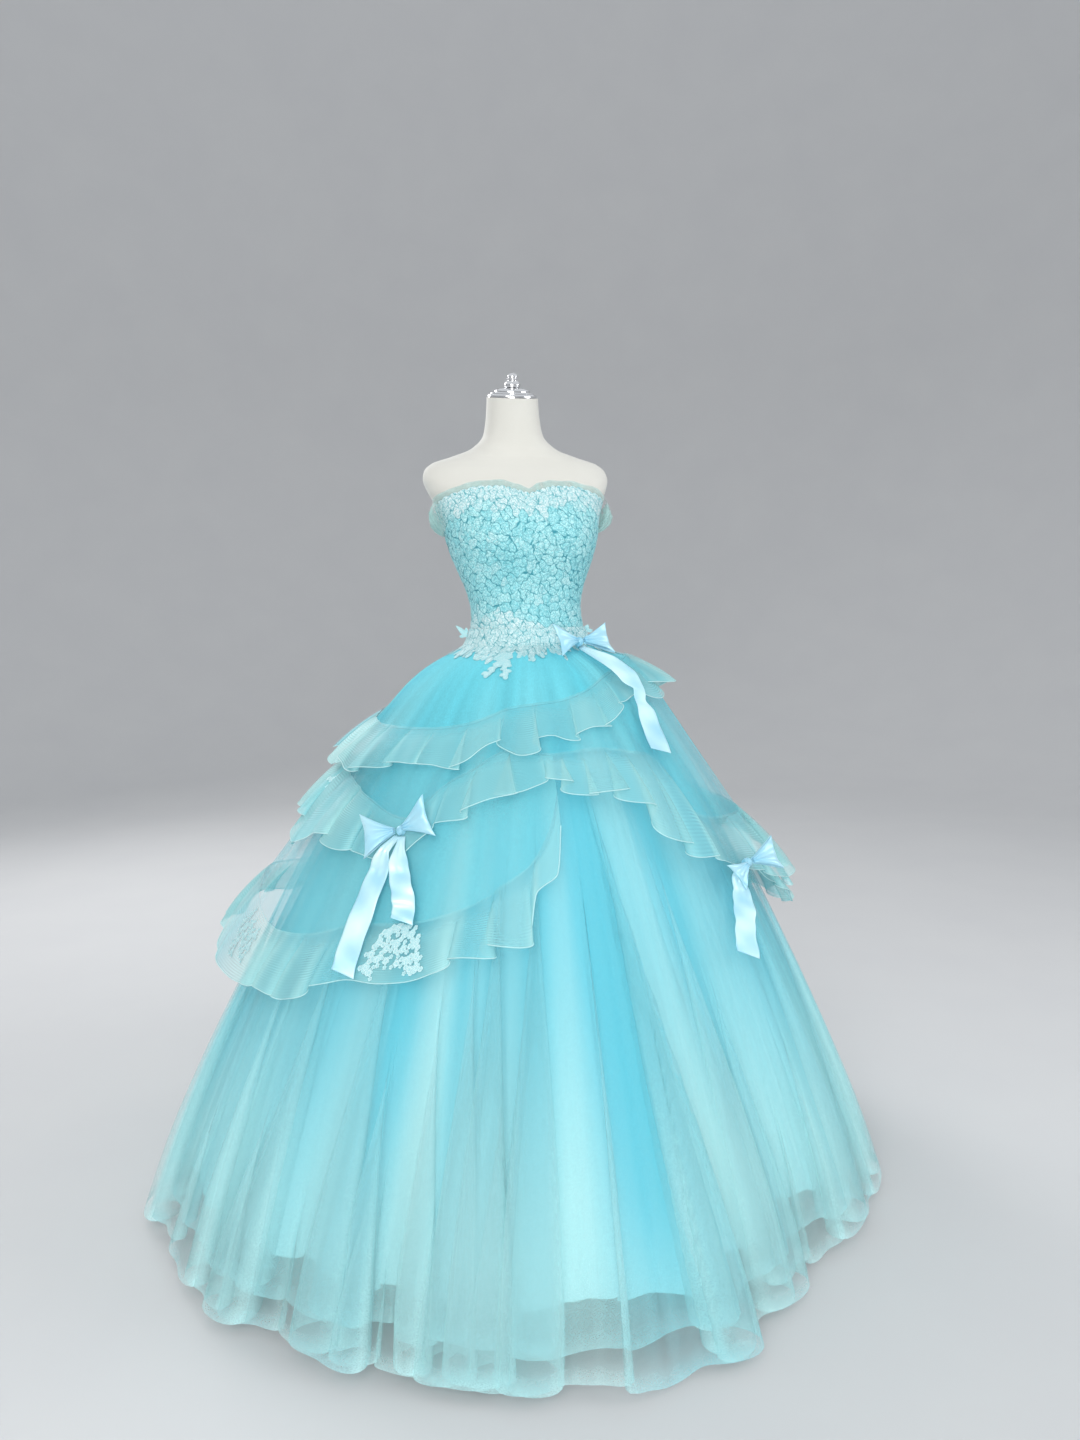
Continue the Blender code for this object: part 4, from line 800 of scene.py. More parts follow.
# Stiff sheer ribbon: fine ribs about 4 mm apart along its length, denser where it is doubled.
organza = Look(
    "stiff_organza", Roughness=0.5, Specular_IOR_Level=0.3, Sheen_Weight=0.10, Sheen_Roughness=0.4)
RIB_PITCH = 0.0042
place = organza.along_cloth()
down = organza.add("SeparateXYZ", {0: place}, 1)
shifted = organza.math("MULTIPLY_ADD", organza.noise(place, 9.0, Detail=2.0), 0.004, down)
ribs = organza.math("SINE", organza.math("MULTIPLY", shifted, 2 * math.pi / RIB_PITCH))
patches = organza.ramp(organza.noise(place, 16.0, Detail=3.0), 0.04, 0.36, 0.50, 0.68)
base = organza.ramp(organza.painted("dense"), 0.22, 0.74)
ribbed = organza.math("MULTIPLY", ribs, patches)
organza.set(
    Base_Color=organza.blend(organza.painted("streak"), (0.44, 0.80, 0.80), (0.24, 0.67, 0.74)),
    Alpha=organza.math("MULTIPLY_ADD", ribbed, 0.30, base, clamp=True))
organza.relief(ribs, 0.2, 0.0004)
edge_roll = Look("rolled_thread", Base_Color=(0.62, 0.90, 0.90, 1.0), Roughness=0.5, Alpha=0.75)

Veil = namedtuple("Veil", "dense_above dense_below deep width length area ruffle ruffle_length ruffle_area")
VEILS = (
    Veil(1.00, 0.66, 0.85, 1.56, 0.21, 0.20, 3.75, 0.11, 0.27),
    Veil(0.60, 0.28, 0.70, 2.44, 0.33, 0.40, 4.88, 0.20, 0.44),
    Veil(0.42, 0.30, 0.48, 2.80, 0.32, 0.58, 4.60, 0.13, 0.38),
)
NEAR_RADIUS = 0.40
panel_tulle = tulle("aqua_tulle_over", (0.34, 0.82, 0.87), (0.13, 0.68, 0.81), 0.10, 0.92)
for index, (tier, veil) in enumerate(zip(TIERS, VEILS)):
    azimuth = tier_azimuths(tier, 620, 560)
    share = down_cloth(20)
    top, seam = panel_ends(index, azimuth)
    height = top + (seam - top) * share
    pleat = PANEL_PLEAT * uneven(azimuth, 60, 120, 400 + index)
    soft = PANEL_SWELL * uneven(azimuth, 7, 18, 410 + index) * np.sin(np.pi * share)
    out = np.where(share > 0.97, 0.0, pleat + soft) * layer_share(height)
    beside = smoothstep((np.abs(wrapped(azimuth)) - 40.0) / 35.0)
    deepness = veil.deep + 0.16 * uneven(azimuth, 7, 22, 420 + index) * share - 0.15 * share
    density = veil.dense_above + (veil.dense_below - veil.dense_above) * share
    density = density - 0.10 * beside * share + 0.05 * share * uneven(azimuth, 20, 60, 430 + index)
    panel = surface(
        f"{tier.name}_tier_tulle", panel_points(index, azimuth, height, out), panel_tulle, tier.closed,
        streak=deepness, dense=density)
    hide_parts(f"{tier.name}_tier_panel")

    azimuth = tier_azimuths(tier, 1360, 1240)
    share = down_cloth(14)
    grid = flounce_points(index, azimuth, share)
    beyond = smoothstep((np.abs(wrapped(azimuth)) - 50.0) / 30.0)
    near_turn = np.zeros(azimuth.shape)
    for turn in tier.turns:
        off = np.radians(wrapped(azimuth - turn.azimuth)) * NEAR_RADIUS / turn.width
        near_turn = np.maximum(near_turn, np.exp(-((np.abs(off) - 1.0) ** 2) * 6.0))
        near_turn = np.maximum(near_turn, (turn.depth < 0) * np.exp(-((off / 3.0) ** 2)))
    density = -0.10 + 0.42 * smoothstep(share / 0.35) + 0.45 * near_turn * share
    density = density + 0.12 * uneven(azimuth, 6, 24, 450 + index) + 0.55 * beyond * (1 - 0.4 * share)
    deepness = 0.40 + 0.30 * uneven(azimuth, 6, 30, 440 + index) - 0.30 * near_turn
    flounce = surface(
        f"{tier.name}_tier_ruffle", grid, organza, tier.closed, streak=deepness, dense=density)
    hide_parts(f"{tier.name}_tier_flounce")
    line = np.concatenate([grid[-1], grid[-1][:1]]) if tier.closed else grid[-1]
    hem_roll = rolled_edge(f"{tier.name}_tier_rolled_edge", line, EDGE_THREAD, edge_roll)


# The bodice: corded lace laid over aqua satin, a front and two backs, boned and cut close. Roses
# cover it, each petal outlined by a cord, and a denser white lace borders its top and its waist.

Edge = namedtuple("Edge", "azimuth height")
BODICE_TOP = [Edge(*row) for row in (
    (0, 1.3080), (14, 1.3155), (32, 1.3225), (48, 1.3220), (62, 1.3130), (80, 1.2970),
    (95, 1.2870), (125, 1.2760), (180, 1.2700),
)]
Cut = namedtuple("Cut", "name start end columns rows width height area")
BODICE_CUTS = (
    Cut("bodice_front", -90, 90, 312, 214, 0.45, 0.31, 0.110),
    Cut("bodice_back_left", 90, 180, 120, 130, 0.23, 0.28, 0.052),
    Cut("bodice_back_right", 180, 270, 120, 130, 0.23, 0.28, 0.052),
)
SEAM_HALF_DEG = 0.14
FORM_CLEARANCE = 0.0006
SATIN = 0.0016
TOP_EDGE_EASE, EASE_DEPTH = 0.0016, 0.030
TOP_LOOP, TOP_LOOPS = 0.0034, 29
ROSE_PITCH = 0.060
ROSE_ROW = 0.87 * ROSE_PITCH
ROSE_RINGS = ((0.0, 1), (0.0150, 4), (0.0305, 6))
ROSE_STRAY = 0.008
LOOSE = 0.0066
PETAL_LEAST = 0.0072
PETAL_SLOPE, PETAL_PUFF, CORD_SUNK = 0.0042, 0.0008, 0.0002
CORD_BEND = 0.0015
LACE_MARGIN = 0.03
TOP_BORDER, TOP_BORDER_EDGE = 0.040, 0.012
WAIST_BORDER, WAIST_BORDER_EDGE = 0.034, 0.016
BORDER_RAGGED = 0.006
FRONT_RADIUS = 0.135


def bodice_top(azimuth):
    """The height of the bodice's top edge, the same left and right."""
    return column(BODICE_TOP, "height", np.abs(wrapped(azimuth)))


def rose_petals(low, high, seed):
    """The middles of the petals over a stretch of lace: rings of 1, 4 and 6 round each rose."""
    random = np.random.default_rng(seed)
    rows, places = int((high[1] - low[1]) / ROSE_ROW) + 2, int((high[0] - low[0]) / ROSE_PITCH) + 2
    row, place = np.mgrid[0:rows, 0:places]
    rose = np.stack([low[0] + ROSE_PITCH * (place + 0.5 * (row % 2)), low[1] + ROSE_ROW * row], -1)
    rose = rose.reshape(-1, 2) + random.uniform(-ROSE_STRAY, ROSE_STRAY, (rows * places, 2))
    middles = []
    for radius, petals in ROSE_RINGS:
        angle = 2 * np.pi * (np.arange(petals) + random.uniform(0, 1, (len(rose), 1))) / petals
        ring = radius * np.stack([np.cos(angle), np.sin(angle)], -1)
        middles.append((rose[:, None] + ring).reshape(-1, 2))
    middles = np.concatenate(middles)
    middles = middles + random.uniform(-LOOSE, LOOSE, middles.shape)
    apart = np.linalg.norm(middles[:, None] - middles[None], axis=-1)
    crowded = np.tril(apart < PETAL_LEAST, -1).any(axis=1)
    return middles[~crowded]


def petal_cells(across, up, middles):
    """How far each point is from the cord between two petals, in metres, and its petal's number.

    A point belongs to the nearest middle, and the cord runs where two middles are equally near.
    Both coordinates are first bent by small sine waves, so that every cord wriggles.
    """
    bent_x = across + CORD_BEND * np.sin(up / 0.0024 + 2.0 * np.sin(across / 0.008))
    bent_y = up + CORD_BEND * np.sin(across / 0.0027 + 2.0 * np.sin(up / 0.007))
    cord, petal = np.empty(across.shape), np.empty(across.shape, int)
    for row in range(len(across)):
        off = np.hypot(bent_x[row][:, None] - middles[:, 0], bent_y[row][:, None] - middles[:, 1])
        nearest = np.argpartition(off, 1, axis=1)[:, :2]
        both = np.take_along_axis(off, nearest, 1)
        cord[row] = 0.5 * np.abs(both[:, 0] - both[:, 1])
        petal[row] = np.where(both[:, 0] < both[:, 1], nearest[:, 0], nearest[:, 1])
    return cord, petal


def petal_shade(petal):
    """Each petal's own shade between 0 and 1, from its number."""
    return 0.5 + 0.5 * np.sin(petal * 12.9898)


# Satin shows between the stitches, which are paler, and both darken along the cords' shadows.
lace = Look("corded_lace_on_satin", Roughness=0.6, Specular_IOR_Level=0.35)
place = lace.along_cloth()
whiten, shade = lace.painted("white"), lace.painted("petal")
wander = lace.noise(place, 90.0, "Color", Detail=2.0)
centred = lace.add("VectorMath", {0: wander, 1: (0.5, 0.5, 0.5)}, operation="SUBTRACT")
pushed = lace.add(
    "VectorMath", {0: centred, 1: (0.012, 0.012, 0.0), 2: place}, operation="MULTIPLY_ADD")
groove = lace.ramp(lace.cells(pushed, 210.0), 1.0, 0.0, 0.02, 0.11)
thread = lace.ramp(lace.cells(pushed, 470.0), 1.0, 0.0, 0.02, 0.30)
clumps = lace.noise(place, 230.0, Detail=3.0, Roughness=0.75, Distortion=1.2)
stitched = lace.math("MULTIPLY_ADD", thread, 0.5, lace.ramp(clumps, 0.0, 1.0, 0.42, 0.60), clamp=True)
satin = lace.blend(shade, (0.13, 0.58, 0.65), (0.21, 0.68, 0.73))
sewn = lace.blend(shade, (0.41, 0.81, 0.84), (0.53, 0.87, 0.88))
white = lace.blend(stitched, (0.22, 0.64, 0.68), (0.76, 0.88, 0.88))
cloth = lace.blend(whiten, lace.blend(stitched, satin, sewn), white)
outline = lace.ramp(lace.painted("cord"), 1.0, 0.0, 0.00030, 0.00105)
line = lace.math("MAXIMUM", outline, lace.math("MULTIPLY", groove, 0.58))
line_tint = lace.blend(whiten, (0.025, 0.27, 0.34), (0.08, 0.38, 0.44))
lace.set(Base_Color=lace.blend(lace.math("MULTIPLY", line, 0.97), cloth, line_tint))
lace.relief(stitched, 0.6, 0.0006)

for number, cut in enumerate(BODICE_CUTS):
    azimuth = np.linspace(cut.start + SEAM_HALF_DEG, cut.end - SEAM_HALF_DEG, cut.columns)
    top = bodice_top(azimuth)
    # The top edge is cut out along the border's own loops.
    cut_edge = top - TOP_LOOP + TOP_LOOP * np.abs(np.sin(np.radians(azimuth) * TOP_LOOPS)) ** 0.7
    height = cut_edge + (WAIST_SEAM - cut_edge) * down_cloth(cut.rows)
    out = FORM_CLEARANCE + SATIN + TOP_EDGE_EASE * np.clip(1 - (top - height) / EASE_DEPTH, 0.0, 1.0)
    step = np.linalg.norm(np.diff(torso_points(azimuth, height, out), axis=1), axis=-1)
    across = np.concatenate([np.zeros((cut.rows, 1)), np.cumsum(step, axis=1)], axis=1)
    across = across - across[:, [int(np.argmin(np.abs(azimuth)))]]
    low = (across.min() - LACE_MARGIN, WAIST_SEAM - LACE_MARGIN)
    high = (across.max() + LACE_MARGIN, top.max() + LACE_MARGIN)
    middles = rose_petals(low, high, 50 + number)
    cord, petal = petal_cells(across, height, middles)

    # A petal is white where its middle lies in a border, so the borders end along petals' edges.
    middle_turn = np.degrees(middles[:, 0] / FRONT_RADIUS)
    if number:
        middle_turn = middle_turn + 0.5 * (cut.start + cut.end)
    under_edge = bodice_top(middle_turn) - middles[:, 1]
    deeper = 0.014 * bell(middle_turn, 5.0, 8.0) + 0.010 * bell(middle_turn, -26.0, 9.0)
    random = np.random.default_rng(60 + number)
    uneven_edge = random.uniform(-BORDER_RAGGED, BORDER_RAGGED, len(middles))
    high_white = smoothstep((TOP_BORDER + deeper + uneven_edge - under_edge) / TOP_BORDER_EDGE)
    left = 0.6 if number else smoothstep((18.0 - middle_turn) / 40.0)
    lace_deep = WAIST_BORDER * (1 + left) + uneven_edge
    low_white = smoothstep((lace_deep - (middles[:, 1] - WAIST_SEAM)) / WAIST_BORDER_EDGE)
    spots = 0.25 * (random.uniform(0, 1, len(middles)) > 0.93)
    white = np.clip(np.maximum(high_white, 0.92 * low_white) + spots + 0.06, 0.0, 1.0)[petal]
    relief = PETAL_PUFF * smoothstep(cord / PETAL_SLOPE) - CORD_SUNK
    bodice = surface(
        f"{cut.name}_lace", torso_points(azimuth, height, out + relief), lace,
        white=white, cord=cord, petal=petal_shade(petal))
    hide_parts(cut.name)


# The neckline: a folded band of crinkled organza that stands a finger's width above the lace,
# and a puff of the same organza gathered over the edge under each arm.

BAND_RISE, BAND_UNEVEN, BAND_FALL = 0.010, 0.0010, 0.006
CRUMPLE, FOLD_FULL, BAND_TUCK = 0.0005, 0.0009, 0.0022
NET = 0.0012
PUFF_START, PUFF_END = 62.0, 114.0
PUFF_DROP, PUFF_END_DROP, PUFF_OUT, PUFF_TOP_LOFT = 0.052, 0.55, 0.016, 0.08
PUFF_KNOTS, PUFF_CLEAR = 0.0012, 0.0003

crinkled = Look("crinkled_organza", Roughness=0.6, Sheen_Weight=0.4)
crush = crinkled.noise(crinkled.place(), 60.0, Detail=3.0, Roughness=0.6)
crinkled.set(
    Base_Color=crinkled.blend(crush, (0.34, 0.58, 0.55), (0.52, 0.76, 0.73)),
    Alpha=crinkled.math("MULTIPLY_ADD", crush, 0.3, crinkled.painted("dense"), clamp=True))
crinkled.relief(crush, 0.6, 0.001)

azimuth = even_azimuths(720)
share = down_cloth(14)
fold = np.sin(np.pi * np.clip(share * 2, 0, 1))
crest = BAND_RISE + BAND_UNEVEN * uneven(azimuth, 6, 20, 500)
height = bodice_top(azimuth) + crest * (1 - share) - BAND_FALL * share
crumple = CRUMPLE * (1 + uneven(azimuth, 14, 40, 501)) * (1 - share) + FOLD_FULL * fold
tucked = BAND_TUCK * smoothstep((share - 0.55) / 0.45)
standing = FORM_CLEARANCE + TOP_EDGE_EASE + NET + crumple - tucked
band = surface(
    "neckline_organza_band", torso_points(azimuth, height, standing), crinkled, around=True,
    dense=0.34 + 0.14 * smoothstep((0.12 - share) / 0.1) + 0.06 * uneven(azimuth, 14, 40, 502))
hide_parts("neckline_band")

for name, side in (("side_puff_left", 1), ("side_puff_right", -1)):
    azimuth = (side * np.linspace(PUFF_START, PUFF_END, 110)[::side])[None]
    way = np.abs(azimuth) - PUFF_START
    across = np.clip(np.sin(np.pi * way / (PUFF_END - PUFF_START)), 0.0, 1.0) ** 0.6
    share = down_cloth(60)
    loft = np.clip(np.sin(np.pi * (PUFF_TOP_LOFT + (1 - PUFF_TOP_LOFT) * share)), 0.0, 1.0)
    gathers = 1 + 0.30 * uneven(azimuth, 60, 130, 510 + side) * (0.4 + 0.6 * share)
    knots = PUFF_KNOTS * np.sin(azimuth * 1.9 + 9 * share) * np.sin(17 * share + azimuth * 0.35)
    bulge = PUFF_OUT * across * loft ** 0.8 * gathers + knots * across
    drop = PUFF_DROP * share * (PUFF_END_DROP + (1 - PUFF_END_DROP) * across)
    out = FORM_CLEARANCE + SATIN + TOP_EDGE_EASE + NET + PUFF_CLEAR + np.maximum(bulge, 0.0)
    entering = smoothstep((way - 4.0) / 16.0)
    puff = surface(
        f"{name}_organza", torso_points(azimuth, bodice_top(azimuth) - 2 * SEAM_GAP - drop, out),
        crinkled, dense=-0.4 + 0.75 * entering + 0.2 * (gathers - 1))
    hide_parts(name)


# The lace applied over the seams: a white corded border round the waist, cut out along its leaves,
# a forked sprig below it, and clusters of blossom sewn on the lowest ruffle. Each petal and leaf
# is worked in satin stitch, with a cord round its edge.

WAIST_LACE_TOP = 1.060
WAIST_LACE_EDGE = [Edge(*row) for row in (
    (-150, 1.014), (-75, 1.018), (-55, 1.012), (-42, 1.010), (-20, 1.013), (-8, 1.007),
    (4, 1.018), (35, 1.022), (60, 1.018), (120, 1.014),
)]
WAIST_GIRTH_RADIUS, GATHER_GIRTH_RADIUS = 0.118, 0.165
GATHER_SLOPE = 0.70
LEAF_ROOT = 1.020
LACE_STANDOFF = 0.0012
EDGE_RAISED, LOBES, LOBE_DEEP = 0.008, 16, 0.0150
LACE_DRAWN = 1.25
LEAF_STANDOFF, LEAF_PUFF, RIM_CORD, OVERLAP = 0.0016, 0.10, 0.0005, 0.00012
PETAL_LENGTH, PETAL_WIDTH = 0.0085, 0.0080
Leaf = namedtuple("Leaf", "across down turn length width")


def waist_surface(azimuth, height, out):
    """Points over the bodice above the waist seam, and over the upper tier's gathers below it."""
    step = WAIST_STEPS["overskirt"]
    rise = np.clip((height - WAIST_SEAM) / (WAIST_LACE_TOP - WAIST_SEAM), 0.0, 1.0)
    over_bodice = step + (SATIN + LACE_STANDOFF - step) * rise + out
    above = torso_points(azimuth, np.maximum(height, WAIST_SEAM), over_bodice)
    below_seam = panel_points(0, azimuth, np.minimum(height, WAIST_SEAM), out)
    return np.where((height > WAIST_SEAM)[..., None], above, below_seam)


def leaf_patches(name, leaves, place_on, look, detail=7):
    """One mesh of many leaves or petals, each a small grid bent to the cloth by place_on.

    A leaf's half width at a share of its length is the sine of that share, raised to 0.7. It rises
    in the middle like a shallow roof, and its rim is raised by a cord. Across and down are metres
    on the cloth, and turn is the angle of the leaf's length from straight down, in degrees.
    """
    x, y, turn, length, width = np.array(leaves, float).T[:, :, None, None]
    along = np.linspace(0.0, 1.0, detail)[None, :, None]
    beside = np.linspace(-1.0, 1.0, detail)[None, None, :]
    wide = 0.5 * width * np.sin(np.pi * np.clip(along * 0.96 + 0.02, 0, 1)) ** 0.7 * beside
    far = length * along
    sine, cosine = np.sin(np.radians(turn)), np.cos(np.radians(turn))
    puff = LEAF_PUFF * width * (1 - beside ** 2) * np.sin(np.pi * along) ** 0.5
    rim = RIM_CORD * np.maximum(np.abs(beside), np.abs(2 * along - 1)) ** 6
    order = OVERLAP * (np.arange(len(leaves)) % 5)[:, None, None]
    grid = place_on(
        x + far * sine + wide * cosine, y + far * cosine - wide * sine,
        LEAF_STANDOFF + puff + rim + order)
    i, j = np.mgrid[0:detail - 1, 0:detail - 1]
    corner = i * detail + j
    quad = np.stack([corner, corner + detail, corner + detail + 1, corner + 1], -1).reshape(1, -1)
    corners = (quad + (np.arange(len(leaves)) * detail ** 2)[:, None]).reshape(-1)
    uv = np.stack(np.broadcast_arrays(beside * width, far), -1).reshape(-1, 2)[corners]
    piece = piece_of(name, grid, corners, np.arange(len(corners) // 4) * 4, uv, look)
    return piece


def blossom(across, down, size, turn, petals=5):
    """A flower's petals, set evenly round its middle and overlapping."""
    length, width = PETAL_LENGTH * size, PETAL_WIDTH * size
    return [Leaf(across, down, turn + 360.0 * k / petals, length, width) for k in range(petals)]


stitch = Look("white_satin_stitch", Roughness=0.6, Specular_IOR_Level=0.3)
threads = stitch.cells(stitch.along_cloth(), 420.0)
raised = stitch.ramp(threads, 0.0, 1.0, 0.02, 0.22)
stitch.set(Base_Color=stitch.blend(raised, (0.20, 0.60, 0.65), (0.76, 0.88, 0.88)))
stitch.relief(threads, 0.6, 0.0003)

# The border is cut out along its leaves: uneven lobes about 23 mm wide, each leaning its own way.
azimuth = even_azimuths(840)
lobes = np.radians(azimuth) * LOBES + 0.9 * uneven(azimuth, 5, 14, 601)
lobe = np.abs(np.sin(lobes + 0.5 * np.sin(lobes))) ** 0.75 * (1 + 0.4 * uneven(azimuth, 4, 13, 602))
edge = column(WAIST_LACE_EDGE, "height", azimuth, turn=360) + EDGE_RAISED - LOBE_DEEP * lobe
height = WAIST_LACE_TOP + (edge - WAIST_LACE_TOP) * down_cloth(34)
across = np.radians(azimuth) * WAIST_GIRTH_RADIUS + np.zeros(height.shape)
middles = rose_petals((across.min() - LACE_MARGIN, -0.02), (across.max() + LACE_MARGIN, 0.08), 77)
cord, petal = petal_cells(across, LACE_DRAWN * (WAIST_LACE_TOP - height), middles)
out = LACE_STANDOFF + PETAL_PUFF * smoothstep(cord / PETAL_SLOPE)
border = surface(
    "waist_lace_border", waist_surface(azimuth + np.zeros(height.shape), height, out), lace,
    around=True, white=0.92, cord=cord, petal=petal_shade(petal))
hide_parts("waist_lace")


def below_waist(middle, start):
    """Metres along and down the gathers from this azimuth and height, to points."""
    def place_on(across, down, out):
        """Points that far from the start, moved out."""
        turn = middle + np.degrees(across / GATHER_GIRTH_RADIUS)
        return waist_surface(turn, start - GATHER_SLOPE * down, out)

    return place_on


TIP_UP, TIP_OUT = 0.62, 0.78


def off_the_cloth(azimuth, foot):
    """Metres beside and along a leaf that has come loose and stands out, edge to the body."""
    def place_on(beside, along, thick):
        """Points that far from the leaf's foot. It leans out, 38 degrees up from level."""
        turn = azimuth + np.degrees(thick / WAIST_GIRTH_RADIUS)
        up, away = TIP_UP * along + TIP_OUT * beside, TIP_OUT * along - TIP_UP * beside
        return waist_surface(turn, foot + up, away)

    return place_on


random = np.random.default_rng(5)
leaves = []
for azimuth in np.arange(-178.0, 180.0, 8.4):
    foot = float(column(WAIST_LACE_EDGE, "height", azimuth, turn=360))
    across, down = math.radians(azimuth) * GATHER_GIRTH_RADIUS, (LEAF_ROOT - foot) / GATHER_SLOPE
    leaves.append(Leaf(across, down - 0.004, random.uniform(-35, 35), 0.0130, 0.0112))
edge_leaves = leaf_patches("waist_lace_leaves", leaves, below_waist(0.0, LEAF_ROOT), stitch)

LooseTip = namedtuple("LooseTip", "side azimuth foot leaves")
LOOSE_TIPS = (
    LooseTip("left", -99.0, 1.044, (
        Leaf(0.000, -0.004, 0.0, 0.0400, 0.0080), Leaf(0.000, 0.006, 38.0, 0.0150, 0.0070),
        Leaf(0.000, 0.004, -42.0, 0.0130, 0.0070),
    )),
    LooseTip("right", 78.0, 1.050, (
        Leaf(0.000, -0.004, 10.0, 0.0200, 0.0090), Leaf(0.000, 0.000, -30.0, 0.0150, 0.0080),
    )),
)
tips = [
    leaf_patches(f"waist_loose_leaves_{tip.side}", tip.leaves, off_the_cloth(tip.azimuth, tip.foot), stitch)
    for tip in LOOSE_TIPS
]

SPRIG_PLACE = (-29.5, 1.014)
SPRIG_STEMS = (
    ((-0.008, 0.000), (-0.004, 0.014), (-0.009, 0.028), (-0.016, 0.043)),
    ((0.006, 0.000), (0.005, 0.014), (0.010, 0.028), (0.013, 0.047)),
)
sprig = []
for stem in SPRIG_STEMS:
    stem_x, stem_y = (smooth_curve(np.arange(4), side, np.linspace(0, 3, 9)) for side in zip(*stem))
    for k, (x, y) in enumerate(zip(stem_x, stem_y)):
        spread = 55 if k % 2 else -55
        sprig.append(Leaf(x, y - 0.003, spread + random.uniform(-12, 12), 0.0125 - 0.0003 * k, 0.0080))
        sprig.append(Leaf(x, y, random.uniform(-20, 20), 0.0120, 0.0078))
SPRIG_FLOWERS = ((-0.001, 0.004, 1.1), (-0.008, 0.022, 0.9), (0.010, 0.024, 0.9), (0.001, 0.014, 0.9))
for across, down, size in SPRIG_FLOWERS:
    sprig += blossom(across, down, size, random.uniform(0, 72))
forked = leaf_patches("waist_sprig", sprig, below_waist(*SPRIG_PLACE), stitch)
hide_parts("waist_motif")


def on_ruffle(index, middle):
    """Metres along and down a tier's ruffle from this azimuth's stitching, to points."""
    radius = float(np.hypot(*flounce_points(index, np.array(middle), np.array(0.5))[:2]))
    fall = float(stage_value(TIERS[index], "seam", middle) - stage_value(TIERS[index], "hem", middle))

    def place_on(across, down, out):
        """Points that far from the start, moved out."""
        turn = middle + np.degrees(across / radius)
        return flounce_points(index, turn, np.clip(down / fall, 0.0, 1.0), out)

    return place_on


# Each flower is its place across and down the cluster, in metres, and its size.
Cluster = namedtuple("Cluster", "name node tier middle width length flowers")
CLUSTERS = (
    Cluster("front_blossoms", "front_motif", 2, -38.5, 0.120, 0.070, (
        (-0.050, 0.058, 1.2), (-0.047, 0.040, 1.0), (-0.039, 0.024, 1.1), (-0.026, 0.012, 1.2),
        (-0.010, 0.007, 1.1), (0.007, 0.009, 1.2), (0.023, 0.016, 1.1), (0.036, 0.029, 1.2),
        (0.043, 0.046, 1.0), (0.048, 0.062, 1.1), (-0.032, 0.046, 1.0), (-0.020, 0.032, 1.0),
        (-0.003, 0.027, 1.2), (0.014, 0.034, 1.0), (0.026, 0.050, 1.1), (-0.040, 0.064, 0.9),
        (-0.014, 0.048, 0.9), (0.008, 0.052, 0.9), (0.036, 0.062, 0.9),
    )),
    Cluster("side_blossoms", "side_motif", 2, -80.0, 0.110, 0.065, (
        (-0.034, 0.030, 1.1), (-0.020, 0.014, 1.0), (-0.006, 0.030, 1.2), (-0.018, 0.040, 1.0),
        (-0.002, 0.050, 1.1), (-0.014, 0.060, 1.0), (0.004, 0.066, 1.0), (0.012, 0.020, 1.0),
        (0.016, 0.038, 1.1), (0.030, 0.026, 0.9), (0.030, 0.046, 1.0), (0.042, 0.032, 1.1),
        (0.044, 0.054, 1.0), (0.056, 0.024, 1.0), (0.058, 0.042, 1.1), (0.060, 0.060, 0.9),
    )),
    Cluster("tip_blossoms", None, 1, -86.0, 0.026, 0.022, ((0.000, 0.026, 1.0), (0.010, 0.036, 0.9))),
)
CLUSTER_SQUEEZE, FLOWER, BUD, BUD_AWAY = 0.86, 0.78, 0.44, 0.0088
for cluster in CLUSTERS:
    leaves = []
    for across, down, size in cluster.flowers:
        turn, across = random.uniform(0, 72), CLUSTER_SQUEEZE * across
        leaves += blossom(across, down, FLOWER * size, turn)
        for k in range(3):
            bud = math.radians(turn + 120 * k)
            x, y = across + BUD_AWAY * math.sin(bud), down + BUD_AWAY * math.cos(bud)
            leaves += blossom(x, y, BUD * size, turn + 30)
    motif = leaf_patches(cluster.name, leaves, on_ruffle(cluster.tier, cluster.middle), stitch)
    if cluster.node:
        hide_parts(cluster.node)


# The bows: double-faced satin, a wide strip folded into loops that a wrapped knot draws together,
# over tails of 38 mm ribbon pressed flat by hand. Each is stitched through its knot to the cloth.

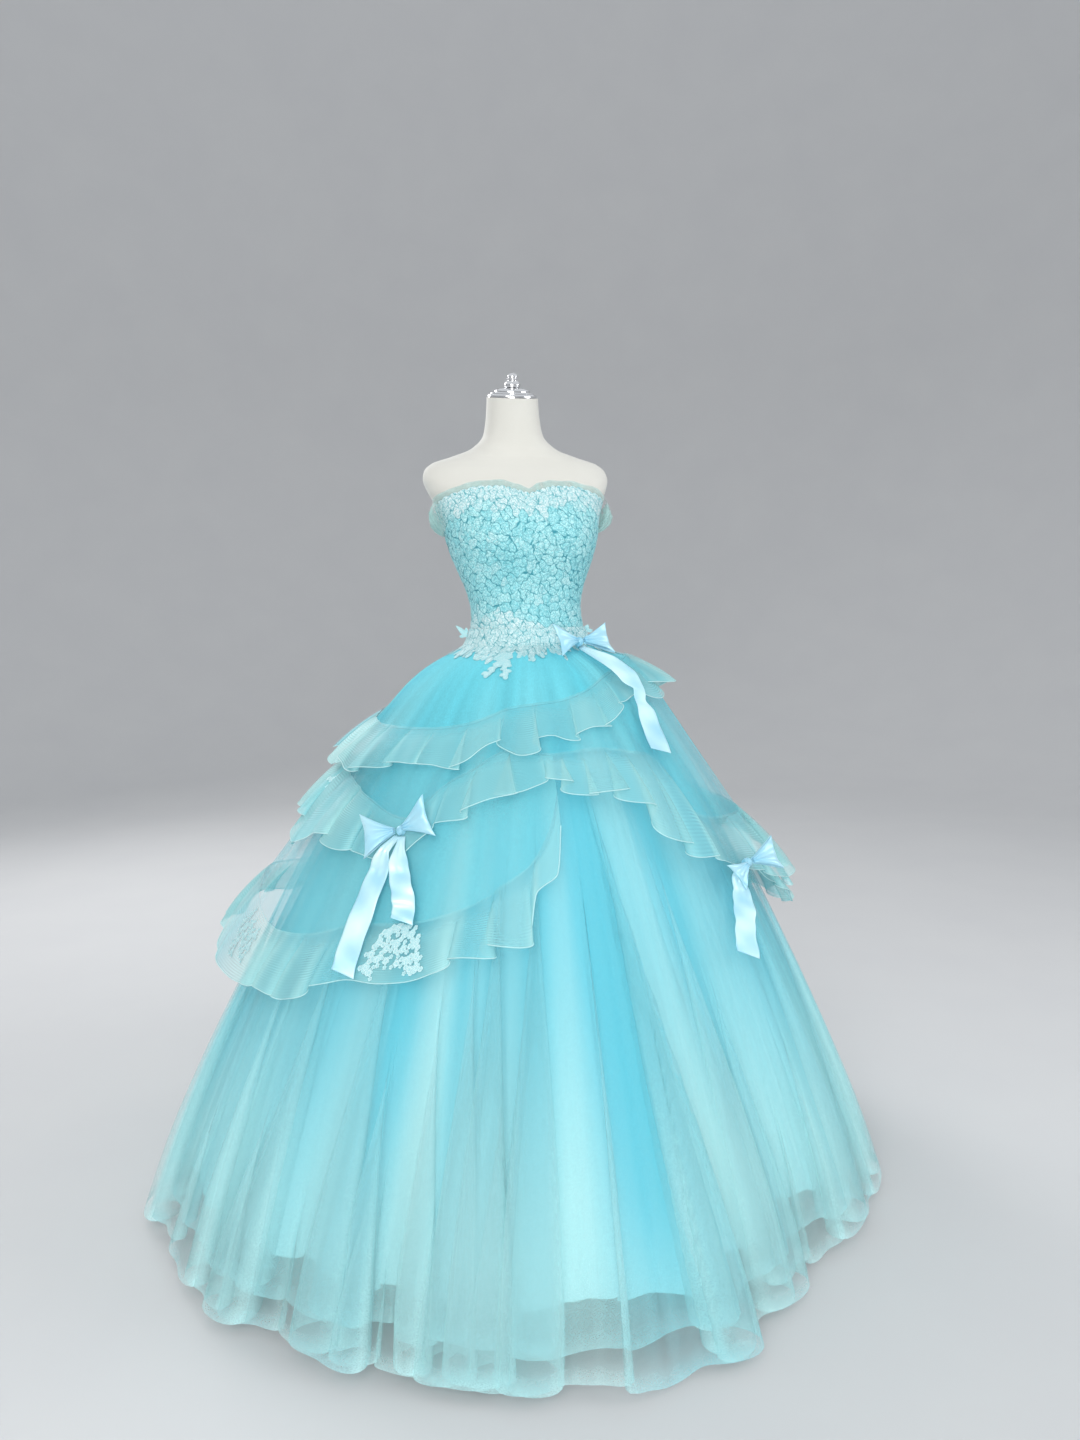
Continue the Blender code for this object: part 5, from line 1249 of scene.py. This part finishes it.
# Each tail's stations run down its middle: azimuth, height, radius and width.
Bow = namedtuple("Bow", "name azimuth faces radius height tilt deep rise clear loops tails")
Loop = namedtuple("Loop", "name direction length width crush")
BOWS = (
    Bow(
        "waist_bow", 31.6, 20.0, 0.1340, 1.0324, 28, 0.0110, 0.0080, 0.0040,
        (Loop("loop_left", 180, 0.056, 0.066, 0.3), Loop("loop_right", 0, 0.064, 0.064, 0.9)),
        {"tail": (
            (33.00, 1.0232, 0.1288, 0.0120), (35.08, 0.9968, 0.1920, 0.0291),
            (36.50, 0.9722, 0.2246, 0.0349), (37.80, 0.9508, 0.2468, 0.0200),
            (37.30, 0.9291, 0.2516, 0.0194), (35.40, 0.9064, 0.2695, 0.0326),
            (33.10, 0.8776, 0.2915, 0.0351), (30.60, 0.8450, 0.3195, 0.0360),
        )},
    ),
    Bow(
        "front_bow", -44.8, -32.0, 0.4103, 0.7363, 20, 0.0090, 0.0110, 0.0020,
        (Loop("loop_left", 194, 0.064, 0.076, 0.3), Loop("loop_right", 25, 0.060, 0.074, 0.4)),
        {"tail_left": (
            (-45.40, 0.7274, 0.4124, 0.0090), (-46.11, 0.7059, 0.4407, 0.0216),
            (-46.71, 0.6835, 0.4435, 0.0323), (-46.89, 0.6559, 0.4603, 0.0358),
            (-46.98, 0.6231, 0.4801, 0.0376), (-46.96, 0.5882, 0.5050, 0.0380),
            (-46.60, 0.5580, 0.5290, 0.0380), (-46.20, 0.5330, 0.5440, 0.0380),
        ), "tail_right": (
            (-43.90, 0.7280, 0.4125, 0.0090), (-42.74, 0.7070, 0.4330, 0.0219),
            (-41.59, 0.6864, 0.4474, 0.0327), (-40.36, 0.6682, 0.4581, 0.0349),
            (-39.09, 0.6515, 0.4676, 0.0358), (-38.31, 0.6369, 0.4757, 0.0360),
            (-37.90, 0.6231, 0.4850, 0.0360), (-37.60, 0.6130, 0.4925, 0.0360),
        )},
    ),
    Bow(
        "side_bow", 44.0, 18.0, 0.4499, 0.6431, 24, 0.0110, 0.0080, 0.0,
        (Loop("loop_left", 208, 0.050, 0.054, 0.5), Loop("loop_right", 7, 0.064, 0.062, 1.0)),
        {"tail": (
            (43.40, 0.6352, 0.4409, 0.0120), (42.42, 0.6155, 0.4321, 0.0230),
            (41.39, 0.5962, 0.4407, 0.0325), (40.08, 0.5784, 0.4491, 0.0358),
            (38.50, 0.5616, 0.4567, 0.0376), (37.05, 0.5438, 0.4648, 0.0380),
            (35.76, 0.5246, 0.4738, 0.0380), (34.50, 0.5050, 0.4830, 0.0380),
        )},
    ),
)
KNOT_WIDE, KNOT_TALL = 0.0075, 0.0085
TAIL_LEAN, TAIL_FACES, TAIL_WIDTH = 0.55, -13.0, 0.038
LOOP_NECK, LOOP_DEPTH, LOOP_FLATNESS, LOOP_TIP_LIFT, LOOP_GAP = 0.005, 0.007, 0.35, 0.006, 0.0002
LOOP_PLEAT, LOOP_ROLL, LOOP_CRUSH = 0.0016, 0.0010, 0.0022
TAIL_GATHER, TAIL_WAVE, TAIL_RIPPLE, TAIL_SLANT = 0.0016, 0.0016, 0.0009, 0.006
RIBBON_THICK, LOOP_SHARE, TAIL_SHARE = 0.0006, 0.56, 0.88
# The cloth under a tail faces this much outwards and this much up.
CLOTH_FACES = (0.8, 0.6)

satin = Look("sky_blue_satin", Metallic=0.12, Specular_IOR_Level=0.7, Sheen_Weight=0.2)
drawn = satin.add("Mapping", {"Vector": satin.along_cloth(), "Scale": (40.0, 2600.0, 1.0)})
float_threads = satin.noise(drawn, 1.0, Detail=2.0)
cloud = satin.noise(satin.place(), 28.0)
# The attribute read here paints light and shade into the satin: paler is a painted highlight, darker a
# painted shade, and the cloud adds random tone.
lit = satin.math("MULTIPLY_ADD", cloud, 0.5, satin.painted("pressed"), clamp=True)
satin.set(
    Roughness=satin.ramp(float_threads, 0.24, 0.40),
    Base_Color=satin.blend(lit, (0.22, 0.58, 0.78), (0.66, 0.93, 0.97)))
satin.relief(float_threads, 0.15, 0.0001)


def bow_frame(bow):
    """A bow's centre and its directions: out of the cloth, sideways and up along the cloth."""
    turn, tilt = math.radians(bow.faces), math.radians(bow.tilt)
    radial = np.array([math.sin(turn), -math.cos(turn), 0.0])
    sideways = np.array([math.cos(turn), math.sin(turn), 0.0])
    outwards = radial * math.cos(tilt) + np.array([0.0, 0.0, math.sin(tilt)])
    return polar(bow.azimuth, bow.radius, bow.height), outwards, sideways, np.cross(outwards, sideways)


def off_centre(centre, *parts):
    """Points that lie off the centre by each of these amounts along its own direction."""
    return centre + sum(np.asarray(amount)[..., None] * direction for amount, direction in parts)


def ribbon(name, grid, pressed):
    """A strip of satin with its thickness."""
    # The third argument is kept as an attribute that paints light and shade into the satin's colour.
    piece = surface(f"{name}_ribbon", grid, satin, pressed=pressed)
    wall = piece.modifiers.new("thickness", "SOLIDIFY")
    wall.thickness, wall.offset = RIBBON_THICK, 0.0
    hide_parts(name)


for bow in BOWS:
    centre, outwards, sideways, upwards = bow_frame(bow)
    around = np.radians(np.arange(48) * 7.5)[None]
    level = np.linspace(0.5 * np.pi - 0.30, 0.30 - 0.5 * np.pi, 30)[:, None]
    crease = 1 + 0.05 * np.sin(5 * around + 2 * level) + 0.03 * np.sin(9 * around - 3 * level)
    wide, deep = KNOT_WIDE * np.cos(level) * np.sin(around), bow.deep * np.cos(level) * np.cos(around)
    tall = KNOT_TALL * np.sin(level) + 0 * around
    grid = off_centre(
        centre, (crease * wide, sideways), (crease * deep, outwards), (crease * tall, upwards))
    knot = surface(f"{bow.name}_wrapped_knot", grid, satin, around=True, ends=True)
    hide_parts(f"{bow.name}_knot")

    for loop in bow.loops:
        # Out along the front, round the tip and back behind, drawn into three pleats at the knot.
        # s runs that way from 0 to 1, and c across the loop from edge to edge.
        direction = math.radians(loop.direction)
        along = math.cos(direction) * sideways + math.sin(direction) * upwards
        across = np.cross(outwards, along)
        s, c = down_cloth(72), np.linspace(-1.0, 1.0, 29)[None]
        open_up = np.sin(np.pi * s)
        bowed_in = 1 - 0.10 * (1 - c * c) * open_up
        reach = KNOT_WIDE + LOOP_GAP + (loop.length - KNOT_WIDE) * open_up * bowed_in
        apart = LOOP_DEPTH * (LOOP_FLATNESS + (1 - LOOP_FLATNESS) * open_up)
        pleats = LOOP_PLEAT * np.cos(3 * np.pi * c) * (1 - open_up) ** 0.8
        pleats = pleats + LOOP_ROLL * np.sin(2.2 * np.pi * c) * open_up
        crush = loop.crush * LOOP_CRUSH * np.sin(7 * s + 3 * c) * np.sin(11 * s * c + 1.0) * open_up
        depth = apart * np.cos(np.pi * s) + LOOP_TIP_LIFT * open_up + bow.rise
        depth = depth + (pleats + crush) * np.where(s < 0.5, 1.0, 0.6)
        half = LOOP_NECK + (loop.width / 2 - LOOP_NECK) * open_up ** 1.2
        grid = off_centre(centre, (reach, along), (depth, outwards), (half * c, across))
        # Painted shade where the loop is drawn into the knot, and painted light over its open middle,
        # rippling across it.
        loop_painted_light = 0.02 + 0.30 * open_up * (0.6 + 0.4 * np.cos(2.6 * c + 5 * s))
        ribbon(
            f"{bow.name}_{loop.name}", grid, loop_painted_light)

    for tail, stations in bow.tails.items():
        # Down over the cloth, gathered at the knot and opening to the ribbon's width. t counts
        # the stations, and c runs across the ribbon from edge to edge.
        places = np.arange(len(stations))
        t = np.linspace(0.0, places[-1], 90)
        azimuth, height, radius, wide = (
            smooth_curve(places, values, t)[:, None] for values in zip(*stations))
        c = np.linspace(-1.0, 1.0, 17)[None]
        t = t[:, None]
        middle = polar(azimuth, radius, height)[:, 0]
        path = unit(np.gradient(middle, axis=0))
        beside = unit(np.cross(polar(azimuth[:, 0], *CLOTH_FACES), path))
        lean = np.radians(TAIL_LEAN * (azimuth - TAIL_FACES))
        beside = (beside * np.cos(lean) + np.cross(path, beside) * np.sin(lean))[:, None]
        radius = radius + bow.clear + np.abs(np.sin(lean)) * wide / 2
        gather = TAIL_GATHER * np.cos(2.5 * np.pi * c) * np.exp(-t / 1.2)
        wave = TAIL_WAVE * np.sin(1.9 * t + 0.8 * c) * smoothstep(t / 2)
        wave = wave + TAIL_RIPPLE * np.sin(4.3 * t - 1.3 * c)
        slant = -TAIL_SLANT * c * smoothstep((t - 5.5) / 1.5)
        grid = polar(azimuth, radius + gather + wave, height + slant) + beside * (wide / 2 * c)[..., None]
        # Painted highlight and painted shade in slanting bands down the tail.
        shine = 0.42 + 0.22 * np.sin(1.7 * t + 1.1 * c) + 0.10 * np.sin(4.1 * t - 2.0 * c)
        ribbon(f"{bow.name}_{tail}", grid, shine)


# The room: a pale seamless floor that sweeps up behind, soft lamps, and the camera.

room = Look("pale_paper", Roughness=0.9)
mottle = room.noise(room.place(), 3.0, Detail=4.0)
room.set(Base_Color=room.blend(mottle, (0.60, 0.60, 0.61), (0.64, 0.64, 0.64)))
FLOOR_FLAT, SWEEP_RISE, WALL_TOP = 4.2, 3.0, 6.0
bent = 0.5 * math.pi * SWEEP_RISE
run = down_cloth(60) * (FLOOR_FLAT + bent + WALL_TOP - SWEEP_RISE)
bend = np.clip((run - FLOOR_FLAT) / SWEEP_RISE, 0.0, 0.5 * math.pi)
out = np.minimum(run, FLOOR_FLAT) + SWEEP_RISE * np.sin(bend)
up = SWEEP_RISE * (1 - np.cos(bend)) + np.maximum(run - FLOOR_FLAT - bent, 0.0)
sweep = polar(even_azimuths(96)[None], out, up)
floor = surface("paper_floor", sweep[::-1], room, around=True)

bpy.context.scene.view_settings.view_transform = "Standard"
world = bpy.data.worlds.new("soft_room")
bpy.context.scene.world = world
world.use_nodes = True
background = world.node_tree.nodes["Background"]
background.inputs["Color"].default_value = (0.92, 0.96, 1.0, 1.0)
background.inputs["Strength"].default_value = 0.76

Lamp = namedtuple("Lamp", "name place aim wide power colour")
LAMPS = (
    Lamp("front_softbox", (-1.6, -3.4, 2.7), (0.0, 0.0, 0.9), 2.2, 62.0, (1.0, 0.99, 0.97)),
    Lamp("low_softbox", (-0.9, -3.6, 1.2), (0.0, 0.0, 0.6), 1.6, 36.0, (1.0, 1.0, 1.0)),
    Lamp("side_softbox", (3.2, -1.6, 2.2), (0.0, 0.0, 0.8), 2.0, 40.0, (0.96, 0.98, 1.0)),
    Lamp("back_softbox", (-1.4, 3.0, 2.8), (0.0, 0.0, 1.0), 2.0, 60.0, (1.0, 1.0, 1.0)),
)
for lamp in LAMPS:
    light = bpy.data.lights.new(lamp.name, "AREA")
    light.shape, light.size, light.energy, light.color = "DISK", lamp.wide, lamp.power, lamp.colour
    holder = bpy.data.objects.new(lamp.name, light)
    aimed = (Vector(lamp.aim) - Vector(lamp.place)).to_track_quat("-Z", "Y").to_matrix().to_4x4()
    holder.matrix_world = Matrix.Translation(lamp.place) @ aimed
    bpy.context.scene.collection.objects.link(holder)

# The camera stands 2.11 m away and 1.10 m up, to the wearer's right, looks 6 degrees down and is
# turned 1.2 degrees on its own axis. Its lens takes in a frame 1080 wide and 1440 high.
CAMERA_PLACE = (-0.4746, -2.0559, 1.10)
CAMERA_HEADING, CAMERA_DOWN, CAMERA_ROLL = math.radians(-13.55), math.radians(6.0), math.radians(1.2)
camera_data = bpy.data.cameras.new("camera")
camera_data.lens, camera_data.sensor_width = 1081.0 / 1440.0 * 36.0, 36.0
camera = bpy.data.objects.new("camera", camera_data)
camera.matrix_world = (
    Matrix.Translation(CAMERA_PLACE)
    @ Matrix.Rotation(CAMERA_HEADING, 4, "Z")
    @ Matrix.Rotation(math.radians(90.0) - CAMERA_DOWN, 4, "X")
    @ Matrix.Rotation(-CAMERA_ROLL, 4, "Z")
)
bpy.context.scene.collection.objects.link(camera)
bpy.context.scene.camera = camera
